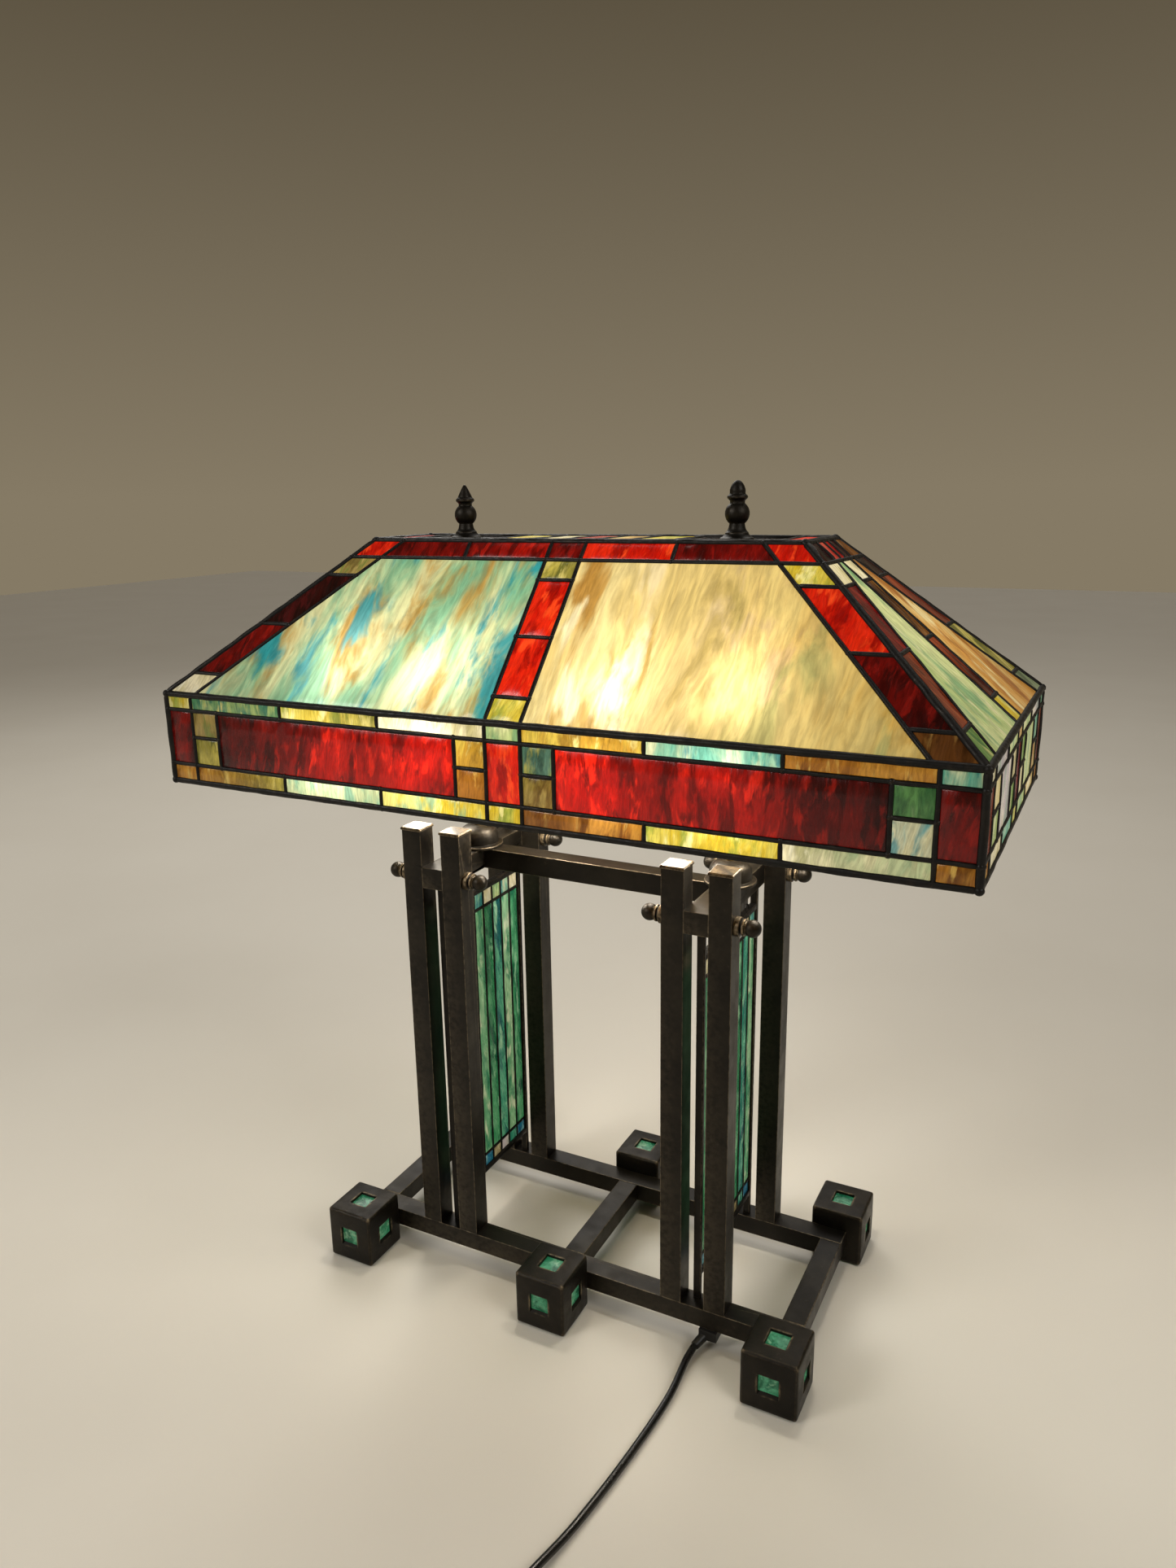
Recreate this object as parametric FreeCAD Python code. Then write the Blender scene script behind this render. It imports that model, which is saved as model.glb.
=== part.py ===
import FreeCAD, Part
import math
import os

# Stained glass table lamp: a twin-tower metal stand that carries a wide leaded shade.
# Millimetres. +Z is up, X runs along the lamp, Y from front (-) to back (+).
# The origin is on the ground, under the middle of the shade.

Vector = FreeCAD.Vector

# ---- driving dimensions -------------------------------------------------------------

# base
RAIL_TOP = 36.7
RAIL_HEIGHT = 18.5
RAIL_WIDTH = 20.5
RAIL_Y = 72.1            # centre line of each long rail
CROSS_X = 218.9          # centre line of the outer cross rails
TUBE_WALL = 1.6
FOOT_SIDE = 50.0
FOOT_TOP = 55.0
FOOT_WALL = 5.0
FOOT_ROUND = 3.0
PAD_THICK = 1.0
PAD_SIDE = 44.0
INSET_WIDE = 20.0
INSET_TALL = 21.0
INSET_ROUND = 1.6
INSET_POCKET = 3.0
INSET_THICK = 2.2

# towers
TOWER_X = 130.4
POST_SIDE = 20.2
POST_TOP = 451.0
CAP_SIDE = 22.2
CAP_THICK = 2.7
YOKE_WIDTH = 22.0
YOKE_HEIGHT = 20.0
YOKE_TOP = 416.8
BEAM_WIDTH = 20.0
ROD_RADIUS = 3.0
ROD_CLEARANCE = 0.15

# leaded panels between the posts
STILE_THICK = 7.0
STILE_WIDE = 4.3
PANEL_HALF = 65.7        # half width of the leaded panel
PANEL_BOTTOM = 60.0
PANEL_TOP = 374.0
BAR_TALL = 5.5
PANEL_CAME = 4.4
PANEL_STRIPS = 8
PANEL_LOW_ROW = 78.5
PANEL_HIGH_ROW = 351.5
LOOP_Y = 46.0            # the two small lifting loops on each panel's top bar

# risers and lights
RISER_RADIUS = 4.8
RISER_BORE = 3.0
RISER_BOTTOM = 404.0
CUP_FLANGE = 23.0
CLUSTER_Z = 618.0
ARM_REACH = 24.0
SOCKET_TILT = 70.0       # degrees below the horizontal
HOLDER_START = 12.0
HOLDER_LENGTH = 44.0
HOLDER_RADIUS = 18.0
HOLDER_BORE = 13.5
BULB_CAP = 13.0
BULB_START = 30.0
BULB_LENGTH = 78.0
BULB_RADIUS = 22.5

# shade
SHADE_HALF_X = 359.0
SHADE_HALF_Y = 163.0
SKIRT_BOTTOM = 496.0
SKIRT_TOP = 579.5
TOP_HALF_X = 201.6
TOP_HALF_Y = 44.3
TOP_Z = 712.7
CAME = 4.4               # thickness of the leaded sides
GLASS = 3.0
LEAD = 3.4               # width of a lead line
EDGE = 1.2               # extra lead along the border of a side
VENT_HALF_X = 46.0
VENT_THICK = 2.6

# cord
CORD_RADIUS = 3.2
FLOOR_CORD = 3.3         # height of the cord's centre where it lies on the ground
GLAND_X = 147.0
SLEEVE_LENGTH = 22.0
SWITCH_HALF = 26.0
WELL_HALF = 9.4          # half length of the opening that the rocker sits in
AXLE_Z = 6.9             # rocker's axle above the cord's centre line
AXLE_RADIUS = 1.2
COIL_CENTRE = (134.5, -469.6)
COIL_INNER = 32.0
COIL_OUTER = 38.4
COIL_HEIGHT = 24.8

GAP = 0.3                # between bodies that move apart

ROD_Z = YOKE_TOP - YOKE_HEIGHT / 2
YOKE_BOTTOM = YOKE_TOP - YOKE_HEIGHT
POST_OFFSET = (YOKE_WIDTH + POST_SIDE) / 2
RAIL_BOTTOM = RAIL_TOP - RAIL_HEIGHT
RAIL_FRONT = RAIL_Y + RAIL_WIDTH / 2
YOKE_END = RAIL_Y + POST_SIDE / 2
SIDES = {"left": -1, "right": 1}

os.makedirs("parts", exist_ok=True)


# ---- small helpers --------------------------------------------------------------------

def save(name, *shapes):
    """One node: one solid, or a group of separate solids."""
    shape = shapes[0] if len(shapes) == 1 else Part.makeCompound(list(shapes))
    shape.exportStep(f"parts/{name}.step")


def block(x0, x1, y0, y1, z0, z1):
    return Part.makeBox(x1 - x0, y1 - y0, z1 - z0, Vector(x0, y0, z0))


def centred(x, y, z0, z1, wide, deep):
    return block(x - wide / 2, x + wide / 2, y - deep / 2, y + deep / 2, z0, z1)


def rod(start, end, radius):
    """A round bar between two points."""
    start, end = Vector(*start), Vector(*end)
    way = end - start
    return Part.makeCylinder(radius, way.Length, start, way)


def turned(profile, centre=(0, 0, 0), axis=(0, 0, 1)):
    """A turned piece from (radius, height) points, standing at centre along axis."""
    points = [Vector(r, 0, h) for r, h in profile]
    if points[0].x > 0:
        points.insert(0, Vector(0, 0, points[0].z))
    if points[-1].x > 0:
        points.append(Vector(0, 0, points[-1].z))
    wire = Part.makePolygon(points + [points[0]])
    shape = Part.Face(wire).revolve(Vector(0, 0, 0), Vector(0, 0, 1), 360)
    if shape.Volume < 0:
        shape.reverse()
    turn = FreeCAD.Rotation(Vector(0, 0, 1), Vector(*axis))
    shape.Placement = FreeCAD.Placement(Vector(*centre), turn)
    return shape


def arc_points(centre_h, radius, start, end, count):
    """(radius, height) points on a ball whose centre is on the axis; angles from the top."""
    step = (end - start) / count
    angles = [math.radians(start + step * i) for i in range(count + 1)]
    return [(radius * math.sin(a), centre_h + radius * math.cos(a)) for a in angles]


# ---- base -------------------------------------------------------------------------------

def long_rail(y):
    end = CROSS_X + RAIL_WIDTH / 2
    half = RAIL_WIDTH / 2
    inner = half - TUBE_WALL
    bar = block(-end, end, y - half, y + half, RAIL_BOTTOM, RAIL_TOP)
    hollow = block(-end + TUBE_WALL, end - TUBE_WALL, y - inner, y + inner,
                   RAIL_BOTTOM + TUBE_WALL, RAIL_TOP - TUBE_WALL)
    return bar.cut(hollow)


front_rail = long_rail(-RAIL_Y)
wire_x = GLAND_X + 2.0
front_rail = front_rail.cut(rod((wire_x, -RAIL_Y, 0), (wire_x, -RAIL_Y, 60), 3.6))
save("front_rail", front_rail)

drain = rod((0, RAIL_Y, 0), (0, RAIL_Y, RAIL_BOTTOM + 5), 2.5)
save("rear_rail", long_rail(RAIL_Y).cut(drain))

rail_inner = RAIL_Y - RAIL_WIDTH / 2
for name, x in (("left", -CROSS_X), ("middle", 0), ("right", CROSS_X)):
    half = RAIL_WIDTH / 2
    inner = half - TUBE_WALL
    bar = block(x - half, x + half, -rail_inner, rail_inner, RAIL_BOTTOM, RAIL_TOP)
    bore = block(x - inner, x + inner, -rail_inner, rail_inner,
                 RAIL_BOTTOM + TUBE_WALL, RAIL_TOP - TUBE_WALL)
    save(f"cross_rail_{name}", bar.cut(bore))


def inset_plate(centre, normal, depth0, depth1, wide, tall):
    """A square tile with rounded corners, between two depths below a foot's face."""
    plate = Part.makeBox(wide, tall, depth1 - depth0, Vector(-wide / 2, -tall / 2, -depth1))
    upright = [e for e in plate.Edges if abs(e.Vertexes[0].Z - e.Vertexes[1].Z) > 0.5]
    plate = plate.makeFillet(INSET_ROUND, upright)
    if abs(normal[2]) > 0.5:
        turn = FreeCAD.Rotation()
    else:
        # local Y stays upright, local Z looks along the face's normal
        across = Vector(0, 0, 1).cross(Vector(*normal))
        turn = FreeCAD.Rotation(across, Vector(0, 0, 1), Vector(*normal), "ZXY")
    plate.Placement = FreeCAD.Placement(Vector(*centre), turn)
    return plate


foot_y = RAIL_FRONT + FOOT_SIDE / 2
foot_mid = (FOOT_TOP + PAD_THICK) / 2
insets = []
pads = []
for row, side in (("front", -1), ("rear", 1)):
    for name, x in (("left", -CROSS_X), ("middle", 0), ("right", CROSS_X)):
        y = side * foot_y
        foot = centred(x, y, PAD_THICK, FOOT_TOP, FOOT_SIDE, FOOT_SIDE)
        rounded = [e for e in foot.Edges if e.BoundBox.ZMax > PAD_THICK + 1]
        foot = foot.makeFillet(FOOT_ROUND, rounded)
        room = FOOT_SIDE - 2 * FOOT_WALL
        foot = foot.cut(centred(x, y, PAD_THICK, FOOT_TOP - FOOT_WALL, room, room))
        half = FOOT_SIDE / 2
        faces = [((x, y, FOOT_TOP), (0, 0, 1)),
                 ((x - half, y, foot_mid), (-1, 0, 0)),
                 ((x + half, y, foot_mid), (1, 0, 0)),
                 ((x, y + side * half, foot_mid), (0, side, 0))]
        for centre, normal in faces:
            pocket = inset_plate(centre, normal, -1, INSET_POCKET, INSET_WIDE, INSET_TALL)
            foot = foot.cut(pocket)
            tile = inset_plate(centre, normal, INSET_POCKET - INSET_THICK, INSET_POCKET,
                               INSET_WIDE - 0.2, INSET_TALL - 0.2)
            insets.append(tile)
        save(f"foot_{row}_{name}", foot)
        pads.append(centred(x, y, 0, PAD_THICK, PAD_SIDE, PAD_SIDE))
save("foot_glass_insets", *insets)
save("foot_pads", *pads)


# ---- towers -------------------------------------------------------------------------------

def rod_hole(x0, x1, y):
    return rod((x0, y, ROD_Z), (x1, y, ROD_Z), ROD_RADIUS + ROD_CLEARANCE)


wire_z = YOKE_BOTTOM + TUBE_WALL + 1.6
wire_hole = rod((TOWER_X + 5, -RAIL_Y, wire_z), (TOWER_X + POST_OFFSET, -RAIL_Y, wire_z), 1.8)
caps = []
for name, side in SIDES.items():
    for row, y in (("front", -RAIL_Y), ("rear", RAIL_Y)):
        pair = []
        for offset in (-POST_OFFSET, POST_OFFSET):
            x = side * TOWER_X + offset
            post = centred(x, y, RAIL_TOP, POST_TOP, POST_SIDE, POST_SIDE)
            room = POST_SIDE - 2 * TUBE_WALL
            post = post.cut(centred(x, y, RAIL_TOP, POST_TOP, room, room))
            post = post.cut(rod_hole(x - POST_SIDE, x + POST_SIDE, y))
            if (name, row) == ("right", "front") and offset > 0:
                post = post.cut(wire_hole)
            pair.append(post)
            cap = centred(x, y, POST_TOP, POST_TOP + CAP_THICK, CAP_SIDE, CAP_SIDE)
            upper = [e for e in cap.Edges if e.BoundBox.ZMin > POST_TOP + 1]
            cap = cap.makeChamfer(0.8, upper)
            spigot = centred(x, y, POST_TOP - 5, POST_TOP, room - 0.2, room - 0.2)
            caps.append(cap.fuse(spigot).removeSplitter())
        save(f"posts_{name}_{row}", *pair)
save("post_caps", *caps)

for name, side in SIDES.items():
    x = side * TOWER_X
    half = YOKE_WIDTH / 2
    yoke = block(x - half, x + half, -YOKE_END, YOKE_END, YOKE_BOTTOM, YOKE_TOP)
    yoke = yoke.cut(block(x - half + TUBE_WALL, x + half - TUBE_WALL,
                          -YOKE_END + 3, YOKE_END - 3,
                          YOKE_BOTTOM + TUBE_WALL, YOKE_TOP - TUBE_WALL))
    for y in (-RAIL_Y, RAIL_Y):
        yoke = yoke.cut(rod_hole(x - YOKE_WIDTH, x + YOKE_WIDTH, y))
    yoke = yoke.cut(rod((x, 0, ROD_Z), (x, 0, YOKE_TOP + 1), RISER_RADIUS + 0.1))
    inward = x - side * half
    yoke = yoke.cut(rod((inward - 5, 0, wire_z), (inward + 5, 0, wire_z), 1.8))
    if side > 0:
        yoke = yoke.cut(wire_hole)
    save(f"yoke_{name}", yoke)

beam_end = TOWER_X - YOKE_WIDTH / 2
inner = BEAM_WIDTH / 2 - TUBE_WALL
beam = block(-beam_end, beam_end, -BEAM_WIDTH / 2, BEAM_WIDTH / 2, YOKE_BOTTOM, YOKE_TOP)
save("top_beam", beam.cut(block(-beam_end, beam_end, -inner, inner,
                                YOKE_BOTTOM + TUBE_WALL, YOKE_TOP - TUBE_WALL)))

# stepped nut with a ball end: two collars, two grooves, a ball
NUT = [(8.0, 0.0), (8.2, 1.0), (8.0, 4.2), (7.0, 4.8), (5.8, 5.2), (5.8, 6.2), (7.2, 6.6),
       (7.2, 8.2), (5.6, 8.8), (5.4, 9.4)]
NUT += [p for p in reversed(arc_points(14.2, 7.4, 0, 134, 14))]
post_out = POST_OFFSET + POST_SIDE / 2
rods = []
nuts = []
for side in SIDES.values():
    for y in (-RAIL_Y, RAIL_Y):
        x = side * TOWER_X
        reach = post_out + 12
        rods.append(rod((x - reach, y, ROD_Z), (x + reach, y, ROD_Z), ROD_RADIUS))
        for way in (-1, 1):
            start = (x + way * post_out, y, ROD_Z)
            nut = turned(NUT, start, (way, 0, 0))
            nuts.append(nut.cut(rod_hole(x, x + way * (reach + 0.4), y)))
save("tie_rods", *rods)
save("ball_nuts", *nuts)


# ---- leaded panels in the towers ----------------------------------------------------------

def panel_tiles():
    """(y0, y1, z0, z1) of each glass strip and small square, measured to the lead centres."""
    pitch = 2 * PANEL_HALF / PANEL_STRIPS
    rows = (PANEL_BOTTOM + BAR_TALL - LEAD / 2, PANEL_LOW_ROW, PANEL_HIGH_ROW,
            PANEL_TOP - BAR_TALL + LEAD / 2)
    tiles = []
    for i in range(PANEL_STRIPS):
        y0 = -PANEL_HALF + i * pitch
        for z0, z1 in zip(rows, rows[1:]):
            tiles.append((y0, y0 + pitch, z0, z1))
    return tiles


stiles = []
cames = []
strip_lead = 2.6
for name, side in SIDES.items():
    x = side * TOWER_X
    thick = STILE_THICK / 2
    for way in (-1, 1):
        edges = sorted((way * PANEL_HALF, way * (PANEL_HALF + STILE_WIDE)))
        stiles.append(block(x - thick, x + thick, *edges, RAIL_TOP, YOKE_BOTTOM))
    lattice = block(x - PANEL_CAME / 2, x + PANEL_CAME / 2, -PANEL_HALF, PANEL_HALF,
                    PANEL_BOTTOM, PANEL_TOP)
    glass = []
    for y0, y1, z0, z1 in panel_tiles():
        cut = strip_lead / 2
        hole = block(x - 4, x + 4, y0 + cut, y1 - cut, z0 + LEAD / 2, z1 - LEAD / 2)
        lattice = lattice.cut(hole)
        glass.append(block(x - GLASS / 2, x + GLASS / 2, y0 + cut, y1 - cut,
                           z0 + LEAD / 2, z1 - LEAD / 2))
    for z0 in (PANEL_BOTTOM, PANEL_TOP - BAR_TALL):
        lattice = lattice.fuse(block(x - thick, x + thick, -PANEL_HALF, PANEL_HALF,
                                     z0, z0 + BAR_TALL))
    for y in (-LOOP_Y, LOOP_Y):
        loop = Part.makeTorus(3.6, 0.8, Vector(x, y, PANEL_TOP + 1.5), Vector(1, 0, 0))
        lattice = lattice.fuse(loop)
    cames.append(lattice.removeSplitter())
    save(f"panel_glass_{name}", *glass)
save("panel_stiles", *stiles)
save("panel_cames", *cames)


# ---- risers, clusters, lampholders, bulbs ---------------------------------------------------

SEAT_TOP = TOP_Z - CAME - GAP
CUP = [(CUP_FLANGE, 0), (CUP_FLANGE, 2.2), (CUP_FLANGE - 1, 3.0), (18.6, 3.4), (18.8, 5.0),
       (18.8, 10.0), (17.6, 15.0), (14.6, 18.4), (10.0, 20.2), (7.4, 20.8)]
cups = []
risers = []
seats = []
clusters = []
holders = []
for name, side in SIDES.items():
    x = side * TOWER_X
    bore = rod((x, 0, 300), (x, 0, 800), RISER_RADIUS + 0.05)
    cups.append(turned(CUP, (x, 0, YOKE_TOP)).cut(bore))
    riser = rod((x, 0, RISER_BOTTOM), (x, 0, TOP_Z + 14), RISER_RADIUS)
    riser = riser.cut(rod((x, 0, RISER_BOTTOM), (x, 0, TOP_Z + 14), RISER_BORE))
    risers.append(riser)
    seat = rod((x, 0, SEAT_TOP - 2), (x, 0, SEAT_TOP), 16)
    nut_shape = rod((x, 0, SEAT_TOP - 9), (x, 0, SEAT_TOP - 2), 9)
    seats.append(seat.fuse(nut_shape).cut(bore).removeSplitter())
    hub = rod((x, 0, CLUSTER_Z - 12), (x, 0, CLUSTER_Z + 18), 13)
    for way in (-1, 1):
        tilt = math.radians(SOCKET_TILT)
        along = Vector(way * math.cos(tilt), 0, -math.sin(tilt))
        root = Vector(x + way * ARM_REACH, 0, CLUSTER_Z)
        arm = rod((x, 0, CLUSTER_Z), tuple(root), 8)
        elbow = Part.makeSphere(8, root)
        neck = Part.makeCylinder(8, HOLDER_START, root, along)
        hub = hub.fuse([arm, elbow, neck])
        start = root + along * HOLDER_START
        holder = Part.makeCylinder(HOLDER_RADIUS, HOLDER_LENGTH, start, along)
        mouth = root + along * BULB_START
        deep = HOLDER_START + HOLDER_LENGTH - BULB_START
        holder = holder.cut(Part.makeCylinder(HOLDER_BORE, deep, mouth, along))
        holders.append(holder)
        cap_length = 26.0
        neck_end = BULB_LENGTH - 1.86 * BULB_RADIUS
        bulb_profile = [(4.0, 0.6), (7.0, 1.6), (BULB_CAP, 4.0), (BULB_CAP, cap_length),
                        (15.5, neck_end + 4)]
        ball = arc_points(BULB_LENGTH - BULB_RADIUS, BULB_RADIUS, 0, 132, 22)
        bulb_profile += list(reversed(ball))
        inner_side = "inner" if way == -side else "outer"
        save(f"bulb_{name}_{inner_side}", turned(bulb_profile, tuple(mouth), tuple(along)))
    clusters.append(hub.cut(bore).removeSplitter())
save("riser_cups", *cups)
save("riser_tubes", *risers)
save("shade_seats", *seats)
save("light_clusters", *clusters)
save("lampholders", *holders)

# the insulated wires run up the hollow post, through the yokes and beam, up both risers
wire = 1.3
route_a = [(wire_x, -RAIL_Y, RAIL_BOTTOM + 1), (wire_x, -RAIL_Y, wire_z),
           (TOWER_X, -RAIL_Y, wire_z), (TOWER_X, 0, wire_z), (TOWER_X, 0, CLUSTER_Z - 14)]
route_b = [(TOWER_X, 0, wire_z), (-TOWER_X, 0, wire_z), (-TOWER_X, 0, CLUSTER_Z - 14)]
harness = None
for route in (route_a, route_b):
    for start, end in zip(route, route[1:]):
        piece = rod(start, end, wire).fuse(Part.makeSphere(wire, Vector(*end)))
        harness = piece if harness is None else harness.fuse(piece)
save("wiring", harness)


# ---- shade ------------------------------------------------------------------------------------

class Side:
    """A flat side of the shade. u runs along it, v up it, from the middle of its low edge."""

    def __init__(self, origin, along, up):
        self.origin = Vector(*origin)
        self.u = Vector(*along)
        self.v = Vector(*up).normalize()
        self.n = self.u.cross(self.v)

    def at(self, u, v, depth=0.0):
        return self.origin + self.u * u + self.v * v - self.n * depth

    def prism(self, polygon, depth0, depth1):
        points = [self.at(u, v, depth0) for u, v in polygon]
        face = Part.Face(Part.makePolygon(points + [points[0]]))
        return face.extrude(self.n * (depth0 - depth1))


def shrunk(polygon, distance):
    """A convex polygon, given counter-clockwise, with every edge moved inwards."""
    lines = []
    for (u0, v0), (u1, v1) in zip(polygon, polygon[1:] + polygon[:1]):
        length = math.hypot(u1 - u0, v1 - v0)
        nu, nv = -(v1 - v0) / length, (u1 - u0) / length
        lines.append((nu, nv, nu * u0 + nv * v0 + distance))
    corners = []
    for (a0, b0, c0), (a1, b1, c1) in zip(lines[-1:] + lines[:-1], lines):
        det = a0 * b1 - a1 * b0
        corners.append(((c0 * b1 - c1 * b0) / det, (a0 * c1 - a1 * c0) / det))
    return corners


def mirrored(polygons):
    """The polygons and their mirror images across u = 0."""
    return polygons + [[(-u, v) for u, v in reversed(p)] for p in polygons]


def strip(edge0, edge1, v0, v1):
    """A tile between two sloping lines, each a function of v."""
    return [(edge0(v0), v0), (edge1(v0), v0), (edge1(v1), v1), (edge0(v1), v1)]


def fixed(u):
    return lambda v: u


# heights of the breaks on a roof side, as shares of its slope
ROOF_BREAKS = (0.135, 0.455, 0.77, 0.885)


def roof_tiles(wide, narrow, slope, column, band, top_splits):
    """The tiles of one sloping side, wide at the bottom and narrow at the top."""
    def hip(v):
        return wide - (wide - narrow) * v / slope - EDGE

    def inner_hip(v):
        return hip(v) - band

    low, high = EDGE, slope - EDGE
    levels = [low] + [share * slope for share in ROOF_BREAKS] + [high]
    half = [strip(fixed(column), inner_hip, low, levels[4])]
    for v0, v1 in zip(levels[:4], levels[1:5]):
        half.append(strip(inner_hip, hip, v0, v1))
    splits = [fixed(u) for u in top_splits]
    if narrow > 100:
        splits.append(inner_hip)
    for edge0, edge1 in zip(splits, splits[1:] + [hip]):
        half.append(strip(edge0, edge1, levels[4], high))
    tiles = mirrored(half)
    for v0, v1 in zip(levels[:4], levels[1:5]):
        tiles.append(strip(fixed(-column), fixed(column), v0, v1))
    first = top_splits[0]
    tiles.append(strip(fixed(-first), fixed(first), levels[4], high))
    return tiles


def skirt_tiles(half_wide, column, stack_in, stack_out, corner, splits):
    """The tiles of one upright side: a top row, a bottom row and a tall middle row."""
    height = SKIRT_TOP - SKIRT_BOTTOM
    low, row0, middle, row1, high = EDGE, 18.0, 44.0, 68.5, height - EDGE
    end = half_wide - EDGE
    half = []
    for u0, u1 in zip([column] + splits, splits + [corner]):
        half.append(strip(fixed(u0), fixed(u1), low, row0))
        half.append(strip(fixed(u0), fixed(u1), row1, high))
    for v0, v1 in ((low, row0), (row0, row1), (row1, high)):
        half.append(strip(fixed(corner), fixed(end), v0, v1))
    for v0, v1 in ((row0, middle), (middle, row1)):
        half.append(strip(fixed(column), fixed(stack_in), v0, v1))
        half.append(strip(fixed(stack_out), fixed(corner), v0, v1))
    half.append(strip(fixed(stack_in), fixed(stack_out), row0, row1))
    tiles = mirrored(half)
    for v0, v1 in ((low, row0), (row0, row1), (row1, high)):
        tiles.append(strip(fixed(-column), fixed(column), v0, v1))
    return tiles


# how far the shade's inner corners stand in from its outer ones, so that the mitres are flat
drop = CAME * math.tan(math.radians(22.9))
lean = (drop - CAME) / (TOP_Z - SKIRT_TOP)
top_in_x = CAME + (SHADE_HALF_X - TOP_HALF_X) * lean
top_in_y = CAME + (SHADE_HALF_Y - TOP_HALF_Y) * lean
LEVELS = {
    "low": ((SHADE_HALF_X, SHADE_HALF_Y, SKIRT_BOTTOM),
            (SHADE_HALF_X - CAME, SHADE_HALF_Y - CAME, SKIRT_BOTTOM)),
    "eaves": ((SHADE_HALF_X, SHADE_HALF_Y, SKIRT_TOP),
              (SHADE_HALF_X - CAME, SHADE_HALF_Y - CAME, SKIRT_TOP - drop)),
    "top": ((TOP_HALF_X, TOP_HALF_Y, TOP_Z),
            (TOP_HALF_X - top_in_x, TOP_HALF_Y - top_in_y, TOP_Z - CAME)),
}


def wall(corners):
    """A closed plate from pairs of (outer, inner) corners, in order round it."""
    outer = [Vector(*o) for o, _ in corners]
    inner = [Vector(*i) for _, i in corners]
    faces = [Part.Face(Part.makePolygon(outer + outer[:1])),
             Part.Face(Part.makePolygon(inner + inner[:1]))]
    for i in range(len(corners)):
        j = (i + 1) % len(corners)
        ring = [outer[i], outer[j], inner[j], inner[i]]
        faces.append(Part.Face(Part.makePolygon(ring + ring[:1])))
    solid = Part.makeSolid(Part.makeShell(faces))
    if solid.Volume < 0:
        solid.reverse()
    return solid


def corner(level, sx, sy):
    return tuple((sx * x, sy * y, z) for x, y, z in LEVELS[level])


def side_wall(below, above, facing):
    signs = {"front": ((-1, -1), (1, -1)), "rear": ((1, 1), (-1, 1)),
             "right": ((1, -1), (1, 1)), "left": ((-1, 1), (-1, -1))}[facing]
    (ax, ay), (bx, by) = signs
    return wall([corner(below, ax, ay), corner(below, bx, by),
                 corner(above, bx, by), corner(above, ax, ay)])


def leaded(side, plate, tiles):
    """The came of one side with its pockets cut, and its glass tiles."""
    pockets = []
    glass = []
    depth = (CAME - GLASS) / 2
    for tile in tiles:
        opening = shrunk(tile, LEAD / 2)
        pockets.append(side.prism(opening, -3, CAME + 3))
        glass.append(side.prism(opening, depth, depth + GLASS))
    return plate.cut(pockets), glass


FACINGS = {"front": (0, -1), "rear": (0, 1), "right": (1, 0), "left": (-1, 0)}
roof_glass = []
skirt_glass = []
rise = TOP_Z - SKIRT_TOP
for facing, (fx, fy) in FACINGS.items():
    across = (-fy, fx, 0)
    if fy:
        reach, run, wide, narrow = SHADE_HALF_Y, SHADE_HALF_Y - TOP_HALF_Y, SHADE_HALF_X, TOP_HALF_X
        column, band, top_splits = 16.0, 34.0, [16.0, 97.0]
        skirt_plan = (16.0, 45.0, 298.0, 328.0, [120.0, 224.0])
    else:
        reach, run, wide, narrow = SHADE_HALF_X, SHADE_HALF_X - TOP_HALF_X, SHADE_HALF_Y, TOP_HALF_Y
        column, band, top_splits = 13.5, 33.0, [7.0, 24.0]
        skirt_plan = (13.5, 42.0, 100.0, 133.0, [72.0])
    slope = math.hypot(run, rise)
    roof = Side((fx * reach, fy * reach, SKIRT_TOP), across, (-fx * run, -fy * run, rise))
    tiles = roof_tiles(wide, narrow, slope, column, band, top_splits)
    came, glass = leaded(roof, side_wall("eaves", "top", facing), tiles)
    save(f"roof_came_{facing}", came)
    roof_glass += glass
    skirt = Side((fx * reach, fy * reach, SKIRT_BOTTOM), across, (0, 0, 1))
    tiles = skirt_tiles(wide, *skirt_plan)
    came, glass = leaded(skirt, side_wall("low", "eaves", facing), tiles)
    save(f"skirt_came_{facing}", came)
    skirt_glass += glass
save("roof_glass", *roof_glass)
save("skirt_glass", *skirt_glass)

top_side = Side((0, 0, TOP_Z), (1, 0, 0), (0, 1, 0))
top_plate = wall([corner("top", -1, -1), corner("top", 1, -1),
                  corner("top", 1, 1), corner("top", -1, 1)])
v_edge = TOP_HALF_Y - 3.0
u_stops = [15.0, 47.0, TOWER_X - VENT_HALF_X + LEAD / 2, TOWER_X + VENT_HALF_X - LEAD / 2,
           TOP_HALF_X - 3.0]
top_tiles = []
vent_tiles = []
for u0, u1 in zip(u_stops, u_stops[1:]):
    pair = mirrored([strip(fixed(u0), fixed(u1), -v_edge, v_edge)])
    if abs((u0 + u1) / 2 - TOWER_X) < 5:
        vent_tiles += pair
    else:
        top_tiles += pair
top_tiles.append(strip(fixed(-15.0), fixed(15.0), -v_edge, v_edge))
top_came, top_glass = leaded(top_side, top_plate, top_tiles)
vents = []
for tile in vent_tiles:
    opening = shrunk(tile, LEAD / 2)
    top_came = top_came.cut(top_side.prism(opening, -3, CAME + 3))
    vent = top_side.prism(opening, CAME - VENT_THICK, CAME)
    x = math.copysign(TOWER_X, tile[0][0])
    vents.append(vent.cut(rod((x, 0, TOP_Z - 9), (x, 0, TOP_Z + 9), RISER_RADIUS + 0.6)))
save("top_came", top_came)
save("top_glass", *top_glass)
save("vent_plates", *vents)

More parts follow.
